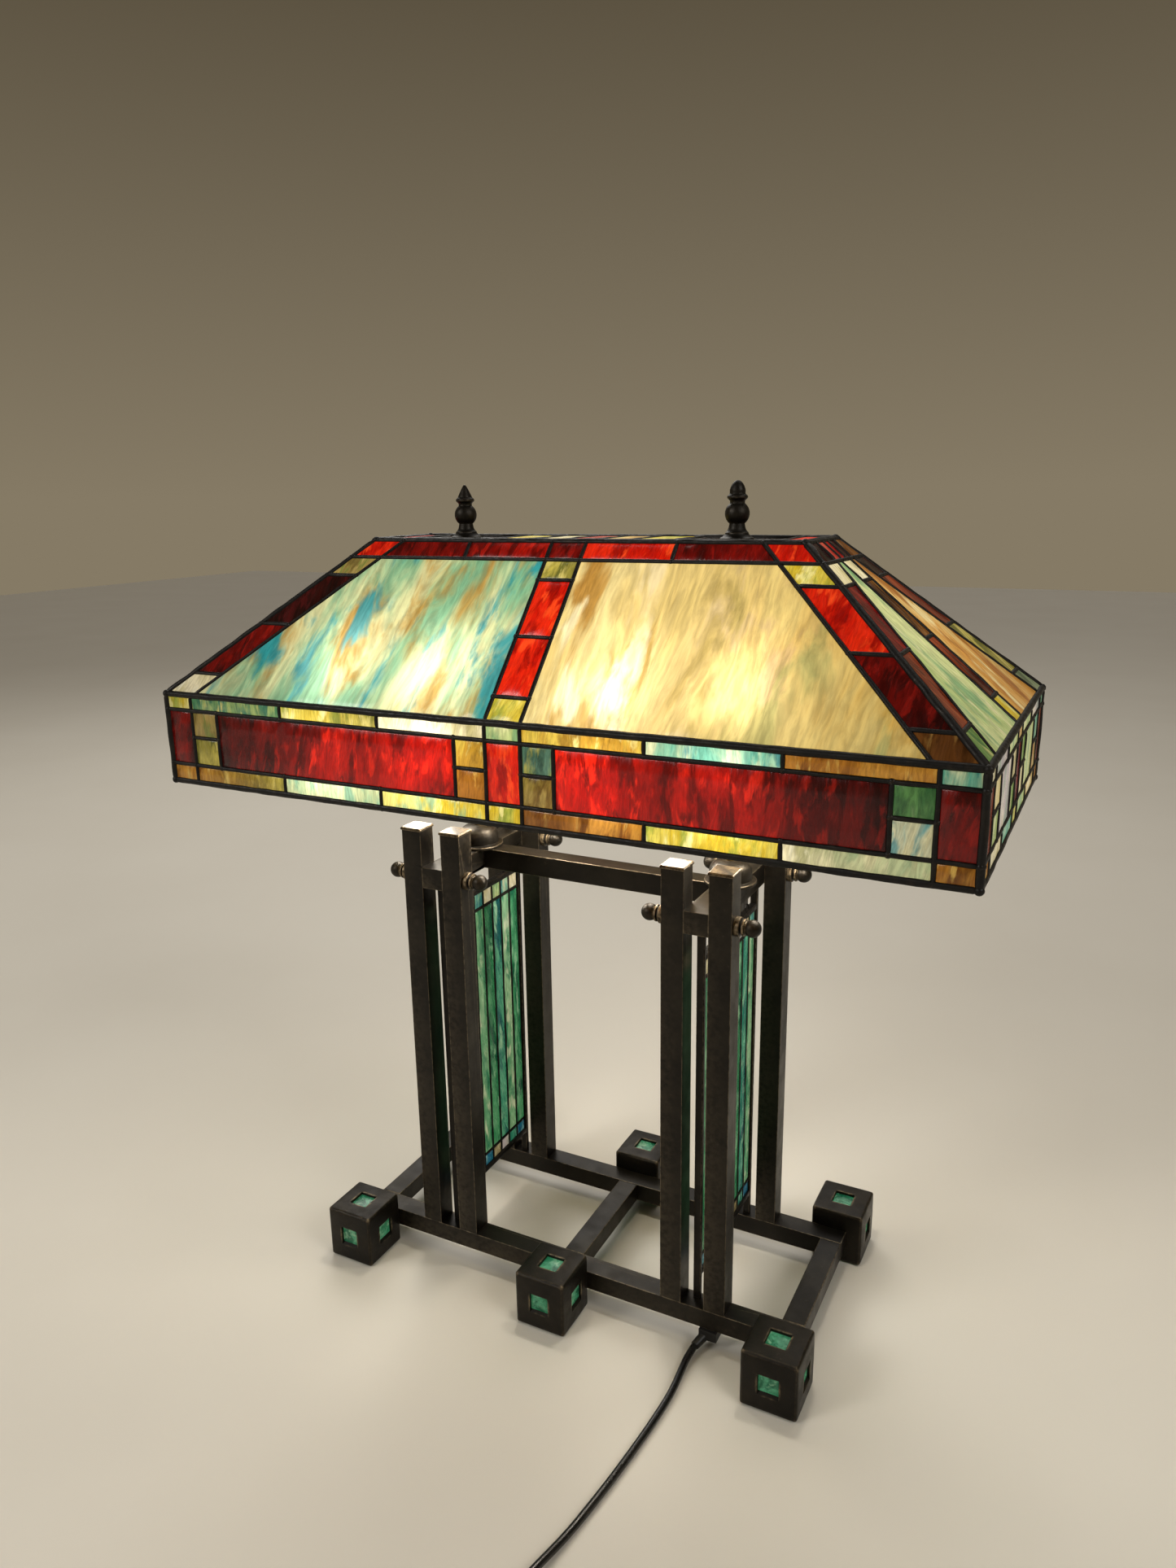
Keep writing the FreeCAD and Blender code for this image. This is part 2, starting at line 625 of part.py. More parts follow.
# finial: a flared foot, a waist, a ball, a second waist, a collar and a tip
FINIAL = [(14.0, 0.0), (13.6, 1.6), (10.6, 5.2), (10.2, 7.0), (7.6, 10.2), (6.2, 13.4)]
FINIAL += list(reversed(arc_points(20.8, 10.0, 38, 140, 14)))
FINIAL += [(6.0, 29.6), (6.4, 31.0), (8.2, 33.2), (8.2, 34.4), (6.6, 36.2)]
TIPS = {"left": [(5.4, 38.6), (3.2, 43.0), (0.8, 46.6), (0.0, 47.4)],
        "right": [(6.1, 38.4), (5.4, 41.6), (3.8, 44.8), (1.8, 46.5), (0.0, 46.9)]}
finial_foot = TOP_Z - CAME + VENT_THICK + GAP
for name, side in SIDES.items():
    x = side * TOWER_X
    finial = turned(FINIAL + TIPS[name], (x, 0, finial_foot))
    bore_top = TOP_Z + 14 + GAP
    finial = finial.cut(rod((x, 0, finial_foot - 1), (x, 0, bore_top), RISER_RADIUS + GAP))
    save(f"finial_{name}", finial)


# ---- cord, gland, switch, coil and plug -----------------------------------------------------

def bent_tube(points, radius, label):
    """A round tube on straight runs joined by the largest tangent arcs that fit."""
    points = [Vector(*p) for p in points]
    edges = []
    radii = []
    at = points[0]
    for before, here, after in zip(points, points[1:], points[2:]):
        back, on = (before - here), (after - here)
        cut = 0.45 * min(back.Length, on.Length)
        back.normalize()
        on.normalize()
        half_turn = (math.pi - back.getAngle(on)) / 2
        radii.append(cut / math.tan(half_turn))
        start, end = here + back * cut, here + on * cut
        bisector = (back + on).normalize()
        centre = here + bisector * (radii[-1] / math.cos(half_turn))
        middle = centre - bisector * radii[-1]
        edges.append(Part.LineSegment(at, start).toShape())
        edges.append(Part.Arc(start, middle, end).toShape())
        at = end
    edges.append(Part.LineSegment(at, points[-1]).toShape())
    path = Part.Wire(edges)
    way = (points[1] - points[0]).normalize()
    section = Part.Wire([Part.Circle(points[0], way, radius).toShape()])
    tube = path.makePipeShell([section], True, False)
    expected = math.pi * radius ** 2 * path.Length
    print(f"{label}: length {path.Length:.1f}, volume {tube.Volume / expected:.4f} of section "
          f"times length, radii {[round(r) for r in radii]}")
    return tube


# from the gland's sleeve, down onto the ground, forward in one long bend, through the switch,
# and into the coil's outer turn
LEAD_ROUTE = [
    (138.3, -93.9, 6.8),
    (136.2, -106.5, 4.2),
    (137.2, -123.0, FLOOR_CORD),
    (139.2, -149.0, FLOOR_CORD),
    (137.6, -182.0, FLOOR_CORD),
    (134.8, -214.0, FLOOR_CORD),
    (131.2, -246.0, FLOOR_CORD),
    (126.8, -278.0, FLOOR_CORD),
    (121.4, -311.0, FLOOR_CORD),
    (113.0, -352.0, 7.6),
    (100.4, -429.0, 7.6),
    (96.6, -467.6, FLOOR_CORD),
]
END_ROUTE = [
    (134.5, -504.8, 21.7),
    (149.2, -505.0, 22.4),
    (165.0, -506.4, 18.0),
    (179.6, -508.8, 12.6),
    (193.4, -511.2, 10.8),
]
save("cord_lead", bent_tube(LEAD_ROUTE, CORD_RADIUS, "cord_lead"))
save("cord_end", bent_tube(END_ROUTE, CORD_RADIUS, "cord_end"))

coil_x, coil_y = COIL_CENTRE
ring = rod((coil_x, coil_y, 0.1), (coil_x, coil_y, COIL_HEIGHT), COIL_OUTER + CORD_RADIUS)
hole = rod((coil_x, coil_y, 0), (coil_x, coil_y, 30), COIL_INNER - CORD_RADIUS)
save("cord_coil", ring.cut(hole))

# gland: a moulded block under the rail, with a tapered sleeve that ends where the cord begins
exit_point = Vector(*LEAD_ROUTE[0])
sleeve_way = Vector(0.35, 0.90, 0.25).normalize()
gland_half = 8.5
gland_front = RAIL_FRONT + 3.0
gland = block(GLAND_X - gland_half, GLAND_X + gland_half, -gland_front,
              -gland_front + 2 * gland_half, 7.2, RAIL_BOTTOM)
gland = gland.makeFillet(2.5, [e for e in gland.Edges if e.BoundBox.ZMax < RAIL_BOTTOM - 0.1])
sleeve = Part.makeCone(3.9, 5.0, SLEEVE_LENGTH, exit_point, sleeve_way)
gland = gland.fuse(sleeve)
save("cord_gland", gland.removeSplitter())


def local_frame(start, end):
    """A placement whose X runs from start to end and whose Z is up."""
    way = (end - start).normalize()
    turn = FreeCAD.Rotation(way, Vector(0, 0, 1).cross(way), Vector(0, 0, 1), "XZY")
    return FreeCAD.Placement((start + end) / 2, turn)


# in-line switch on the straight run of the cord
switch_place = local_frame(Vector(*LEAD_ROUTE[9]), Vector(*LEAD_ROUTE[10]))
body = block(-SWITCH_HALF, SWITCH_HALF, -11, 11, -7.4, 8.4)
body = body.makeFillet(3.0, [e for e in body.Edges])
for way in (-1, 1):
    nose = Part.makeCone(7.0, 4.6, 8, Vector(way * (SWITCH_HALF - 3), 0, 0), Vector(way, 0, 0))
    body = body.fuse(nose)
body = body.cut(rod((-60, 0, 0), (60, 0, 0), CORD_RADIUS + 0.05))
body = body.cut(block(-WELL_HALF, WELL_HALF, -5.5, 5.5, 4.0, 20))
body = body.cut(rod((0, -8, AXLE_Z), (0, 8, AXLE_Z), AXLE_RADIUS + 0.05))
body.Placement = switch_place
save("switch_body", body)
rocker_outline = [(-8.6, 6.1), (8.6, 6.1), (8.6, 10.8), (0, 8.8), (-8.6, 8.8)]
points = [Vector(u, -5.1, w) for u, w in rocker_outline]
rocker = Part.Face(Part.makePolygon(points + points[:1])).extrude(Vector(0, 10.2, 0))
rocker = rocker.fuse(rod((0, -7.6, AXLE_Z), (0, 7.6, AXLE_Z), AXLE_RADIUS)).removeSplitter()
rocker.Placement = switch_place
save("switch_rocker", rocker)

# moulded two-blade plug, lying on the ground beside the coil
plug_start = Vector(*END_ROUTE[-1])
plug_way = Vector(1, -0.12, 0)
plug_place = local_frame(plug_start, plug_start + plug_way * 2)
plug_place.Base = plug_start
relief = Part.makeCone(4.4, 7.2, 22, Vector(0, 0, 0), Vector(1, 0, 0))
grip = block(20, 54, -12, 12, -10.0, 8.6)
grip = grip.makeFillet(4.0, [e for e in grip.Edges])
plug = relief.fuse(grip)
for y in (-6.35, 6.35):
    plug = plug.fuse(block(52, 71, y - 0.75, y + 0.75, -3.9, 2.4))
plug = plug.removeSplitter()
plug.Placement = plug_place
save("plug", plug)
print("rocker axis at", switch_place.multVec(Vector(0, 0, AXLE_Z)),
      "along", switch_place.Rotation.multVec(Vector(0, 1, 0)))
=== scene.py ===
import math
import random

import bmesh
import bpy
from mathutils import Matrix, Vector, noise


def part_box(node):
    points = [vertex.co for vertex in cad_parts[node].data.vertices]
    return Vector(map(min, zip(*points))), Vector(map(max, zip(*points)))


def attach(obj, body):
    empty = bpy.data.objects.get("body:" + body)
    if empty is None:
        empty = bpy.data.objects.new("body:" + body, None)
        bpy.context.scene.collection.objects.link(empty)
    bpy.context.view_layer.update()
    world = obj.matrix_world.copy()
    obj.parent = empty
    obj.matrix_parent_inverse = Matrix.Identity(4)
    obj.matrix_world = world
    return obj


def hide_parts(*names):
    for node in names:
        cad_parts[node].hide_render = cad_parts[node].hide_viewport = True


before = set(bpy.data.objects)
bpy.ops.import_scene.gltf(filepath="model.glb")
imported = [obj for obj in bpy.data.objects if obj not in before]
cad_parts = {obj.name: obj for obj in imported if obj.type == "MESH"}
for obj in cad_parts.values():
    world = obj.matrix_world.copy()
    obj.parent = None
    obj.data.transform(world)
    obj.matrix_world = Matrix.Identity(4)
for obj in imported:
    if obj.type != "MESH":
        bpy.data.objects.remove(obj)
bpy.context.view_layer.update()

# Stained glass table lamp. Everything is in metres, in the frame of the CAD model.
MM = 0.001
UP = Vector((0, 0, 1))
SIDES = {"left": -1, "right": 1}
rng = random.Random(11)


def at(node):
    """The box of a CAD node as two vectors."""
    low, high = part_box(node)
    return Vector(low), Vector(high)


def middle(node):
    low, high = at(node)
    return (low + high) / 2


# ---- shaders ----------------------------------------------------------------------------

def tone(code, alpha=1.0):
    """A linear colour from a hex code."""
    parts = [int(code[i:i + 2], 16) / 255 for i in (0, 2, 4)]
    linear = [p / 12.92 if p <= 0.04045 else ((p + 0.055) / 1.055) ** 2.4 for p in parts]
    return (*linear, alpha)


class Shader:
    """A Principled material and short names for the nodes that feed it."""

    def __init__(self, name, **values):
        self.material = bpy.data.materials.new(name)
        self.material.use_nodes = True
        self.tree = self.material.node_tree
        self.surface = self.tree.nodes["Principled BSDF"]
        for key, value in values.items():
            self.surface.inputs[key.replace("_", " ")].default_value = value

    def put(self, socket, value):
        """Links a socket, or sets it when the value is a number or colour."""
        if isinstance(value, bpy.types.NodeSocket):
            self.tree.links.new(value, socket)
        else:
            socket.default_value = value

    def feed(self, name, value):
        self.put(self.surface.inputs[name], value)

    def node(self, kind, **settings):
        made = self.tree.nodes.new(kind)
        for key, value in settings.items():
            setattr(made, key, value)
        return made

    def place(self):
        """Coordinates in the lamp's own frame, in metres."""
        return self.node("ShaderNodeTexCoord").outputs["Object"]

    def attribute(self, name, output="Color"):
        return self.node("ShaderNodeAttribute", attribute_name=name).outputs[output]

    def stretched(self, vector, scale):
        mapping = self.node("ShaderNodeMapping")
        self.put(mapping.inputs["Vector"], vector)
        mapping.inputs["Scale"].default_value = scale
        return mapping.outputs["Vector"]

    def noise(self, vector, scale, detail=4.0, rough=0.5, output="Fac"):
        made = self.node("ShaderNodeTexNoise")
        self.put(made.inputs["Vector"], vector)
        made.inputs["Scale"].default_value = scale
        made.inputs["Detail"].default_value = detail
        made.inputs["Roughness"].default_value = rough
        return made.outputs[output]

    def cells(self, vector, scale, feature="F1"):
        made = self.node("ShaderNodeTexVoronoi", feature=feature)
        self.put(made.inputs["Vector"], vector)
        made.inputs["Scale"].default_value = scale
        return made.outputs["Distance"]

    def spread(self, value, low, high, to_low=0.0, to_high=1.0):
        """A smooth step from to_low to to_high as value goes from low to high."""
        made = self.node("ShaderNodeMapRange", interpolation_type="SMOOTHSTEP")
        self.put(made.inputs["Value"], value)
        for name, number in (("From Min", low), ("From Max", high),
                             ("To Min", to_low), ("To Max", to_high)):
            made.inputs[name].default_value = number
        return made.outputs["Result"]

    def maths(self, operation, a, b=0.0):
        made = self.node("ShaderNodeMath", operation=operation)
        self.put(made.inputs[0], a)
        self.put(made.inputs[1], b)
        return made.outputs["Value"]

    def vector(self, operation, a, b=(0, 0, 0), output="Vector"):
        made = self.node("ShaderNodeVectorMath", operation=operation)
        self.put(made.inputs[0], a)
        self.put(made.inputs["Scale" if operation == "SCALE" else 1], b)
        return made.outputs[output]

    def mix(self, share, a, b, blend="MIX"):
        made = self.node("ShaderNodeMix", data_type="RGBA", blend_type=blend)
        self.put(made.inputs["Factor"], share)
        self.put(made.inputs[6], a)
        self.put(made.inputs[7], b)
        return made.outputs[2]

    def gamma(self, colour, power):
        made = self.node("ShaderNodeGamma")
        self.put(made.inputs["Color"], colour)
        made.inputs["Gamma"].default_value = power
        return made.outputs["Color"]

    def bump(self, height, distance, strength=1.0):
        made = self.node("ShaderNodeBump")
        self.put(made.inputs["Height"], height)
        made.inputs["Distance"].default_value = distance
        made.inputs["Strength"].default_value = strength
        self.put(self.surface.inputs["Normal"], made.outputs["Normal"])

    def edge(self):
        """Near 1 on sharp outside edges, 0.5 on flat faces."""
        return self.node("ShaderNodeNewGeometry").outputs["Pointiness"]


def patina(name, dark, light, worn, rough=(0.34, 0.46), grain=1.0, relief=0.22, rub=0.62):
    """Dark patinated metal: a faintly cloudy colour, rubbed edges and a fine cast skin."""
    s = Shader(name, Metallic=0.7)
    place = s.place()
    clouds = s.noise(place, 22 * grain, 6, 0.6)
    fine = s.noise(place, 210 * grain, 5, 0.62)
    colour = s.mix(s.spread(clouds, 0.34, 0.70), tone(dark), tone(light))
    colour = s.mix(s.spread(fine, 0.60, 0.80, 0, 0.12), colour, tone(worn))
    rubbed = s.maths("MULTIPLY", s.spread(s.edge(), 0.51, rub, 0, 0.8),
                     s.spread(fine, 0.34, 0.60, 0.15, 1.0))
    s.feed("Base Color", s.mix(rubbed, colour, tone(worn)))
    s.feed("Roughness", s.spread(s.noise(place, 60 * grain, 5), 0.3, 0.7, *rough))
    s.bump(s.maths("ADD", fine, s.noise(place, 900 * grain, 3)), relief * MM, 0.3)
    return s.material


def plastic(name, code, rough, grain=0.12):
    """Moulded black plastic or rubber with a fine uneven skin."""
    s = Shader(name)
    place = s.place()
    cloudy = s.noise(place, 24, 2)
    s.feed("Base Color", s.mix(s.spread(cloudy, 0.35, 0.7, 0, 0.3), tone(code), tone("1e1c1b")))
    s.feed("Roughness", s.spread(s.noise(place, 90, 2), 0.3, 0.7, rough, rough + 0.06))
    s.bump(s.noise(place, 900, 2), grain * MM, 0.3)
    return s.material


def bulb_spots():
    """The middle of each lit globe."""
    spots = []
    for side in SIDES:
        for place in ("inner", "outer"):
            low, high = at(f"bulb_{side}_{place}")
            spots.append(Vector(((low.x + high.x) / 2, 0, low.z + 25 * MM)))
    return spots


BULB_WARMTH = (1.0, 0.94, 0.74)
GLARE_TINT = (1.0, 0.96, 0.84)


def glow(s):
    """How strongly the bulbs light each place, and how much of it is a hot spot by a bulb."""
    place = s.place()
    soft, hot = 0.0, 0.0
    for spot in bulb_spots():
        offset = s.vector("SUBTRACT", place, tuple(spot))
        near = s.maths("DIVIDE", 97 * MM, s.vector("LENGTH", offset, output="Value"))
        soft = s.maths("ADD", soft, s.maths("MULTIPLY", near, near))
        squeezed = s.vector("MULTIPLY", offset, (1.3, 0.85, 1.12))
        away = s.vector("LENGTH", squeezed, output="Value")
        hot = s.maths("ADD", hot, s.maths("POWER", s.maths("DIVIDE", 141 * MM, away), 22.0))
    hot = s.maths("MULTIPLY", hot, 1.1)
    return s.maths("ADD", s.maths("POWER", soft, 0.85), hot), hot


def opal_glass(name, strength, lit, rough=0.16):
    """Streaky opalescent glass that glows with painted light; its four tints and its flow are
    stored on the mesh.
    """
    s = Shader(name, Emission_Strength=strength, IOR=1.5, Specular_IOR_Level=0.32)
    flow = s.attribute("flow", "Vector")
    swirl = s.noise(s.stretched(flow, (1, 0.8, 1)), 0.7, 3, 0.5, "Color")
    bent = s.vector("ADD", flow, s.vector("SCALE", swirl, 1.3))
    broad = s.spread(s.noise(bent, 0.55, 5, 0.6), 0.40, 0.60)
    drift = s.spread(s.noise(s.vector("ADD", bent, (7.3, 1.9, 4.1)), 0.8, 5, 0.55),
                     0.48, 0.63, 0, 0.85)
    wisps = s.spread(s.noise(s.vector("ADD", bent, (2.7, 8.3, 9.6)), 1.1, 5, 0.55),
                     0.53, 0.66, 0, 0.9)
    colour = s.mix(broad, s.attribute("tint_a"), s.attribute("tint_b"))
    colour = s.mix(drift, colour, s.attribute("tint_c"))
    colour = s.mix(wisps, colour, s.attribute("tint_d"))
    threads = s.noise(s.stretched(bent, (1, 0.45, 1)), 7.0, 5, 0.6)
    colour = s.vector("SCALE", colour, s.spread(threads, 0.28, 0.72, 0.78, 1.18))
    s.feed("Base Color", s.vector("SCALE", colour, 0.32))
    # The emission is painted glow standing in for light through the glass; on the lit shade it
    # falls off from the bulbs, with a painted glare at the hot spots beside them.
    shine = s.gamma(s.vector("MULTIPLY", colour, BULB_WARMTH), 1.25)
    if lit:
        level, hot = glow(s)
        pale = s.vector("DOT_PRODUCT", shine, (0, 0, 1), output="Value")
        glare = s.vector("SCALE", GLARE_TINT, s.maths("MULTIPLY", pale, hot))
        shine = s.vector("ADD", s.vector("SCALE", shine, level), glare)
    s.feed("Emission Color", shine)
    s.feed("Roughness", s.spread(s.noise(bent, 3, 4), 0.3, 0.7, rough, rough + 0.14))
    s.bump(s.maths("ADD", s.noise(bent, 2.5, 3), s.maths("MULTIPLY", threads, 0.3)), MM, 0.3)
    return s.material


def solder():
    """Black-patinated solder: nearly black, a soft shine, warmer where it is rubbed."""
    s = Shader("black_solder", Metallic=0.5)
    place = s.place()
    clouds = s.noise(place, 95, 5, 0.6)
    colour = s.mix(s.spread(clouds, 0.46, 0.70), tone("0c0a08"), tone("1f1912"))
    s.feed("Base Color", s.mix(s.spread(s.edge(), 0.58, 0.70, 0, 0.3), colour, tone("4c3c2a")))
    s.feed("Roughness", s.spread(s.noise(place, 240, 4), 0.3, 0.7, 0.40, 0.60))
    s.bump(s.noise(place, 520, 4), 0.3 * MM, 0.45)
    return s.material


def hammered():
    """Cast vent metal with a rough stippled skin."""
    s = Shader("stippled_metal", Metallic=0.8)
    place = s.place()
    clouds = s.noise(place, 60, 5)
    s.feed("Base Color", s.mix(s.spread(clouds, 0.35, 0.7), tone("1b1611"), tone("4a3a2a")))
    s.feed("Roughness", s.spread(clouds, 0.3, 0.7, 0.42, 0.64))
    s.bump(s.cells(place, 520), 0.5 * MM, 0.6)
    return s.material


def lit_bulb():
    s = Shader("frosted_bulb", Emission_Strength=1.5, Roughness=0.35)
    warm = s.noise(s.place(), 40, 3)
    s.feed("Base Color", s.mix(warm, tone("fff3dc"), tone("ffe9c4")))
    s.feed("Emission Color", s.mix(warm, tone("ffd49a"), tone("ffe0b4")))
    return s.material


def felt():
    s = Shader("felt", Roughness=0.95, Sheen_Weight=0.4)
    place = s.place()
    fibres = s.noise(place, 900, 6, 0.7)
    s.feed("Base Color", s.mix(fibres, tone("22261c"), tone("3b4030")))
    s.bump(fibres, 0.4 * MM, 0.7)
    return s.material


BRONZE = patina("dark_bronze", "16130f", "26221b", "776a56", (0.34, 0.46), 1.0, 0.15)
CAST_BRONZE = patina("cast_bronze", "15120e", "252018", "8a795f", (0.38, 0.52), 1.4, 0.35, 0.56)
OLD_BRASS = patina("aged_brass", "5c4a2c", "7d6840", "b09a68", (0.28, 0.44), 1.3)
STEEL = patina("rod_steel", "4a4742", "6a6660", "a09a90", (0.28, 0.40))
SOLDER = solder()
VENT_METAL = hammered()
SHADE_GLASS = opal_glass("lit_opal_glass", 0.92, True)
# The tower and foot glass have no bulb behind them; their faint emission is painted glow.
TOWER_GLASS = opal_glass("tower_opal_glass", 0.36, False)
FOOT_GLASS = opal_glass("foot_opal_glass", 0.22, False, 0.12)
BULB = lit_bulb()
FELT = felt()
CORD_BLACK = plastic("cord_black", "0a0909", 0.24, 0.012)
MOULDED = plastic("moulded_black", "100f0f", 0.42)
PHENOLIC = plastic("lampholder_black", "14110f", 0.38, 0.08)


# ---- meshes -----------------------------------------------------------------------------

def show(name, bm, body, material, nodes=(), sharp=38):
    """Makes a shown piece of a bmesh: it rides on a body and stands for CAD nodes."""
    mesh = bpy.data.meshes.new(name)
    bmesh.ops.recalc_face_normals(bm, faces=bm.faces)
    bm.to_mesh(mesh)
    bm.free()
    mesh.shade_smooth()
    mesh.set_sharp_from_angle(angle=math.radians(sharp))
    mesh.materials.append(material)
    piece = bpy.data.objects.new(name, mesh)
    bpy.context.collection.objects.link(piece)
    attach(piece, body)
    if nodes:
        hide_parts(*nodes)
    return piece


def welded(node):
    """The CAD node's mesh with its shared corners joined and its flat faces whole."""
    bm = bmesh.new()
    bm.from_mesh(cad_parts[node].data)
    bmesh.ops.remove_doubles(bm, verts=bm.verts, dist=2e-6)
    return bm


def refined(node, material, width, body="root", segments=3):
    """A copy of a CAD node whose sharp edges are rounded over."""
    bm = welded(node)
    bmesh.ops.dissolve_limit(bm, angle_limit=math.radians(0.6), verts=bm.verts, edges=bm.edges)
    limit = math.radians(50)
    sharp = [e for e in bm.edges if len(e.link_faces) == 2 and e.calc_face_angle(0) > limit]
    bmesh.ops.bevel(bm, geom=sharp, offset=width, offset_type="OFFSET", segments=segments,
                    profile=0.5, affect="EDGES", clamp_overlap=True)
    room = (4 * width) ** 2
    flat = [f for f in bm.faces if f.calc_area() > room and
            4 * f.calc_area() / f.calc_perimeter() > 4 * width]
    bmesh.ops.inset_individual(bm, faces=flat, thickness=width, use_even_offset=True)
    return show(f"{node}_finished", bm, body, material, [node])


def islands(node):
    """The separate solids of a CAD node: the corners and the largest face's normal of each."""
    bm = welded(node)
    left = set(bm.verts)
    found = []
    while left:
        start = left.pop()
        group, queue = [start], [start]
        while queue:
            for edge in queue.pop().link_edges:
                for vert in edge.verts:
                    if vert in left:
                        left.discard(vert)
                        group.append(vert)
                        queue.append(vert)
        widest = max({f for v in group for f in v.link_faces}, key=lambda f: f.calc_area())
        widest.normal_update()
        found.append(([v.co.copy() for v in group], widest.normal.copy()))
    bm.free()
    found.sort(key=lambda island: tuple(round(sum(c[k] for c in island[0]), 5) for k in range(3)))
    return found


def ring(bm, centre, across, up, wide, tall, sides):
    made = []
    for i in range(sides):
        angle = 2 * math.pi * i / sides
        offset = across * (wide * math.cos(angle)) + up * (tall * math.sin(angle))
        made.append(bm.verts.new(centre + offset))
    return made


def skin(bm, rings, cap=True):
    """Joins rings of the same size with quads, and closes both ends."""
    count = len(rings[0])
    for low, high in zip(rings, rings[1:]):
        for i in range(count):
            j = (i + 1) % count
            bm.faces.new((low[i], low[j], high[j], high[i]))
    if cap:
        bm.faces.new(list(reversed(rings[0])))
        bm.faces.new(rings[-1])


def lathe(bm, profile, centre, axis=UP, sides=64):
    """A turned piece from (radius, height) points in millimetres."""
    turn = UP.rotation_difference(axis).to_matrix()
    across, over = turn @ Vector((1, 0, 0)), turn @ Vector((0, 1, 0))
    rings = []
    for radius, height in profile:
        radius = max(radius, 0.02) * MM
        rings.append(ring(bm, centre + axis * (height * MM), across, over, radius, radius, sides))
    skin(bm, rings)


def smooth_profile(points, steps=4):
    """More points along a profile, on a curve through the given ones."""
    out = []
    padded = [points[0]] + list(points) + [points[-1]]
    for p0, p1, p2, p3 in zip(padded, padded[1:], padded[2:], padded[3:]):
        for k in range(steps):
            t = k / steps
            point = []
            for a, b, c, d in zip(p0, p1, p2, p3):
                point.append(0.5 * (2 * b + (c - a) * t + (2 * a - 5 * b + 4 * c - d) * t * t
                                    + (3 * b - a - 3 * c + d) * t ** 3))
            out.append(tuple(point))
    out.append(points[-1])
    return out


def ball(centre_h, radius, start, end, count=16):
    """(radius, height) points round a ball, from one angle below the top to another."""
    angles = [math.radians(start + (end - start) * i / count) for i in range(count + 1)]
    return [(radius * math.sin(a), centre_h + radius * math.cos(a)) for a in angles]


def bead(bm, start, end, up, wide, tall, seed, sides=10):
    """A hand-run solder line: a rounded bar whose width and height wander."""
    along = end - start
    length = along.length
    along.normalize()
    up = (up - along * up.dot(along)).normalized()
    across = along.cross(up)
    count = max(2, round(length / (4 * MM)))
    rings = []
    for i in range(count + 1):
        run = length * i / count
        drift = noise.noise(Vector((run * 48, seed, 3.3)))
        thick = 1 + 0.13 * noise.noise(Vector((run * 70, seed, 0.0)))
        height = 1 + 0.20 * noise.noise(Vector((run * 60, seed, 9.1)))
        end_pinch = 0.72 if i in (0, count) else 1.0
        centre = start + along * run + across * (drift * 0.3 * MM)
        rings.append(ring(bm, centre, across, up, wide * thick * end_pinch,
                          tall * height * end_pinch, sides))
    skin(bm, rings)


def blob(bm, centre, up, wide, tall):
    """A flattened drop of solder."""
    turn = UP.rotation_difference(up).to_matrix()
    across, over = turn @ Vector((1, 0, 0)), turn @ Vector((0, 1, 0))
    axis = turn @ UP
    rings = []
    for i in range(7):
        angle = math.pi * (0.06 + 0.88 * i / 6)
        rings.append(ring(bm, centre - axis * (tall * math.cos(angle)), across, over,
                          wide * math.sin(angle), wide * math.sin(angle), 12))
    skin(bm, rings)


def bump_up(bm, x, y, z, wide, tall):
    """A low six-sided dome."""
    low = [bm.verts.new((x + wide * math.cos(math.pi * i / 3),
                         y + wide * math.sin(math.pi * i / 3), z)) for i in range(6)]
    top = [bm.verts.new((x + 0.55 * wide * math.cos(math.pi * i / 3),
                         y + 0.55 * wide * math.sin(math.pi * i / 3), z + tall))
           for i in range(6)]
    for i in range(6):
        j = (i + 1) % 6
        bm.faces.new((low[i], low[j], top[j], top[i]))
    bm.faces.new(top)


def bar(bm, low, high, edge, segments=3):
    """A box with rounded edges."""
    made = bmesh.ops.create_cube(bm, size=1.0)["verts"]
    for vert in made:
        for k in range(3):
            vert.co[k] = (low[k] + high[k]) / 2 + vert.co[k] * (high[k] - low[k])
    edges = {e for v in made for e in v.link_edges}
    bmesh.ops.bevel(bm, geom=list(edges), offset=edge, offset_type="OFFSET",
                    segments=segments, profile=0.5, affect="EDGES", clamp_overlap=True)


# ---- camera and cord --------------------------------------------------------------------

def make_camera():
    """Stands in front, to the right and above the shade, looking slightly down."""
    data = bpy.data.cameras.new("camera")
    data.sensor_width = 36.0
    data.lens = 25.43
    camera = bpy.data.objects.new("camera", data)
    bpy.context.collection.objects.link(camera)
    turn = Matrix.Rotation(0.4761, 4, "Z") @ Matrix.Rotation(-0.2585, 4, "X")
    turn = turn @ Matrix.Rotation(0.0156, 4, "Y") @ Matrix.Rotation(math.pi / 2, 4, "X")
    camera.matrix_world = Matrix.Translation((0.4422, -0.8753, 0.7513)) @ turn
    bpy.context.scene.camera = camera


CORD_RADIUS = 3.2 * MM
CORD_FLOOR = 3.3
LEAD_ROUTE = [
    (138.3, -93.9, 6.8),
    (136.2, -106.5, 4.2),
    (137.2, -123.0, CORD_FLOOR),
    (139.2, -149.0, CORD_FLOOR),
    (137.6, -182.0, CORD_FLOOR),
    (134.8, -214.0, CORD_FLOOR),
    (131.2, -246.0, CORD_FLOOR),
    (126.8, -278.0, CORD_FLOOR),
    (121.4, -311.0, CORD_FLOOR),
    (113.0, -352.0, 7.6),
    (100.4, -429.0, 7.6),
    (96.6, -467.6, CORD_FLOOR),
]
END_ROUTE = [
    (134.5, -504.8, 21.7),
    (149.2, -505.0, 22.4),
    (165.0, -506.4, 18.0),
    (179.6, -508.8, 12.6),
    (193.4, -511.2, 10.8),
]
COIL_CENTRE = (134.5, -469.6)
INNER, OUTER, NESTED = 32.0, 38.4, 35.2
ROWS = (3.3, 9.7, 16.1, 21.7)
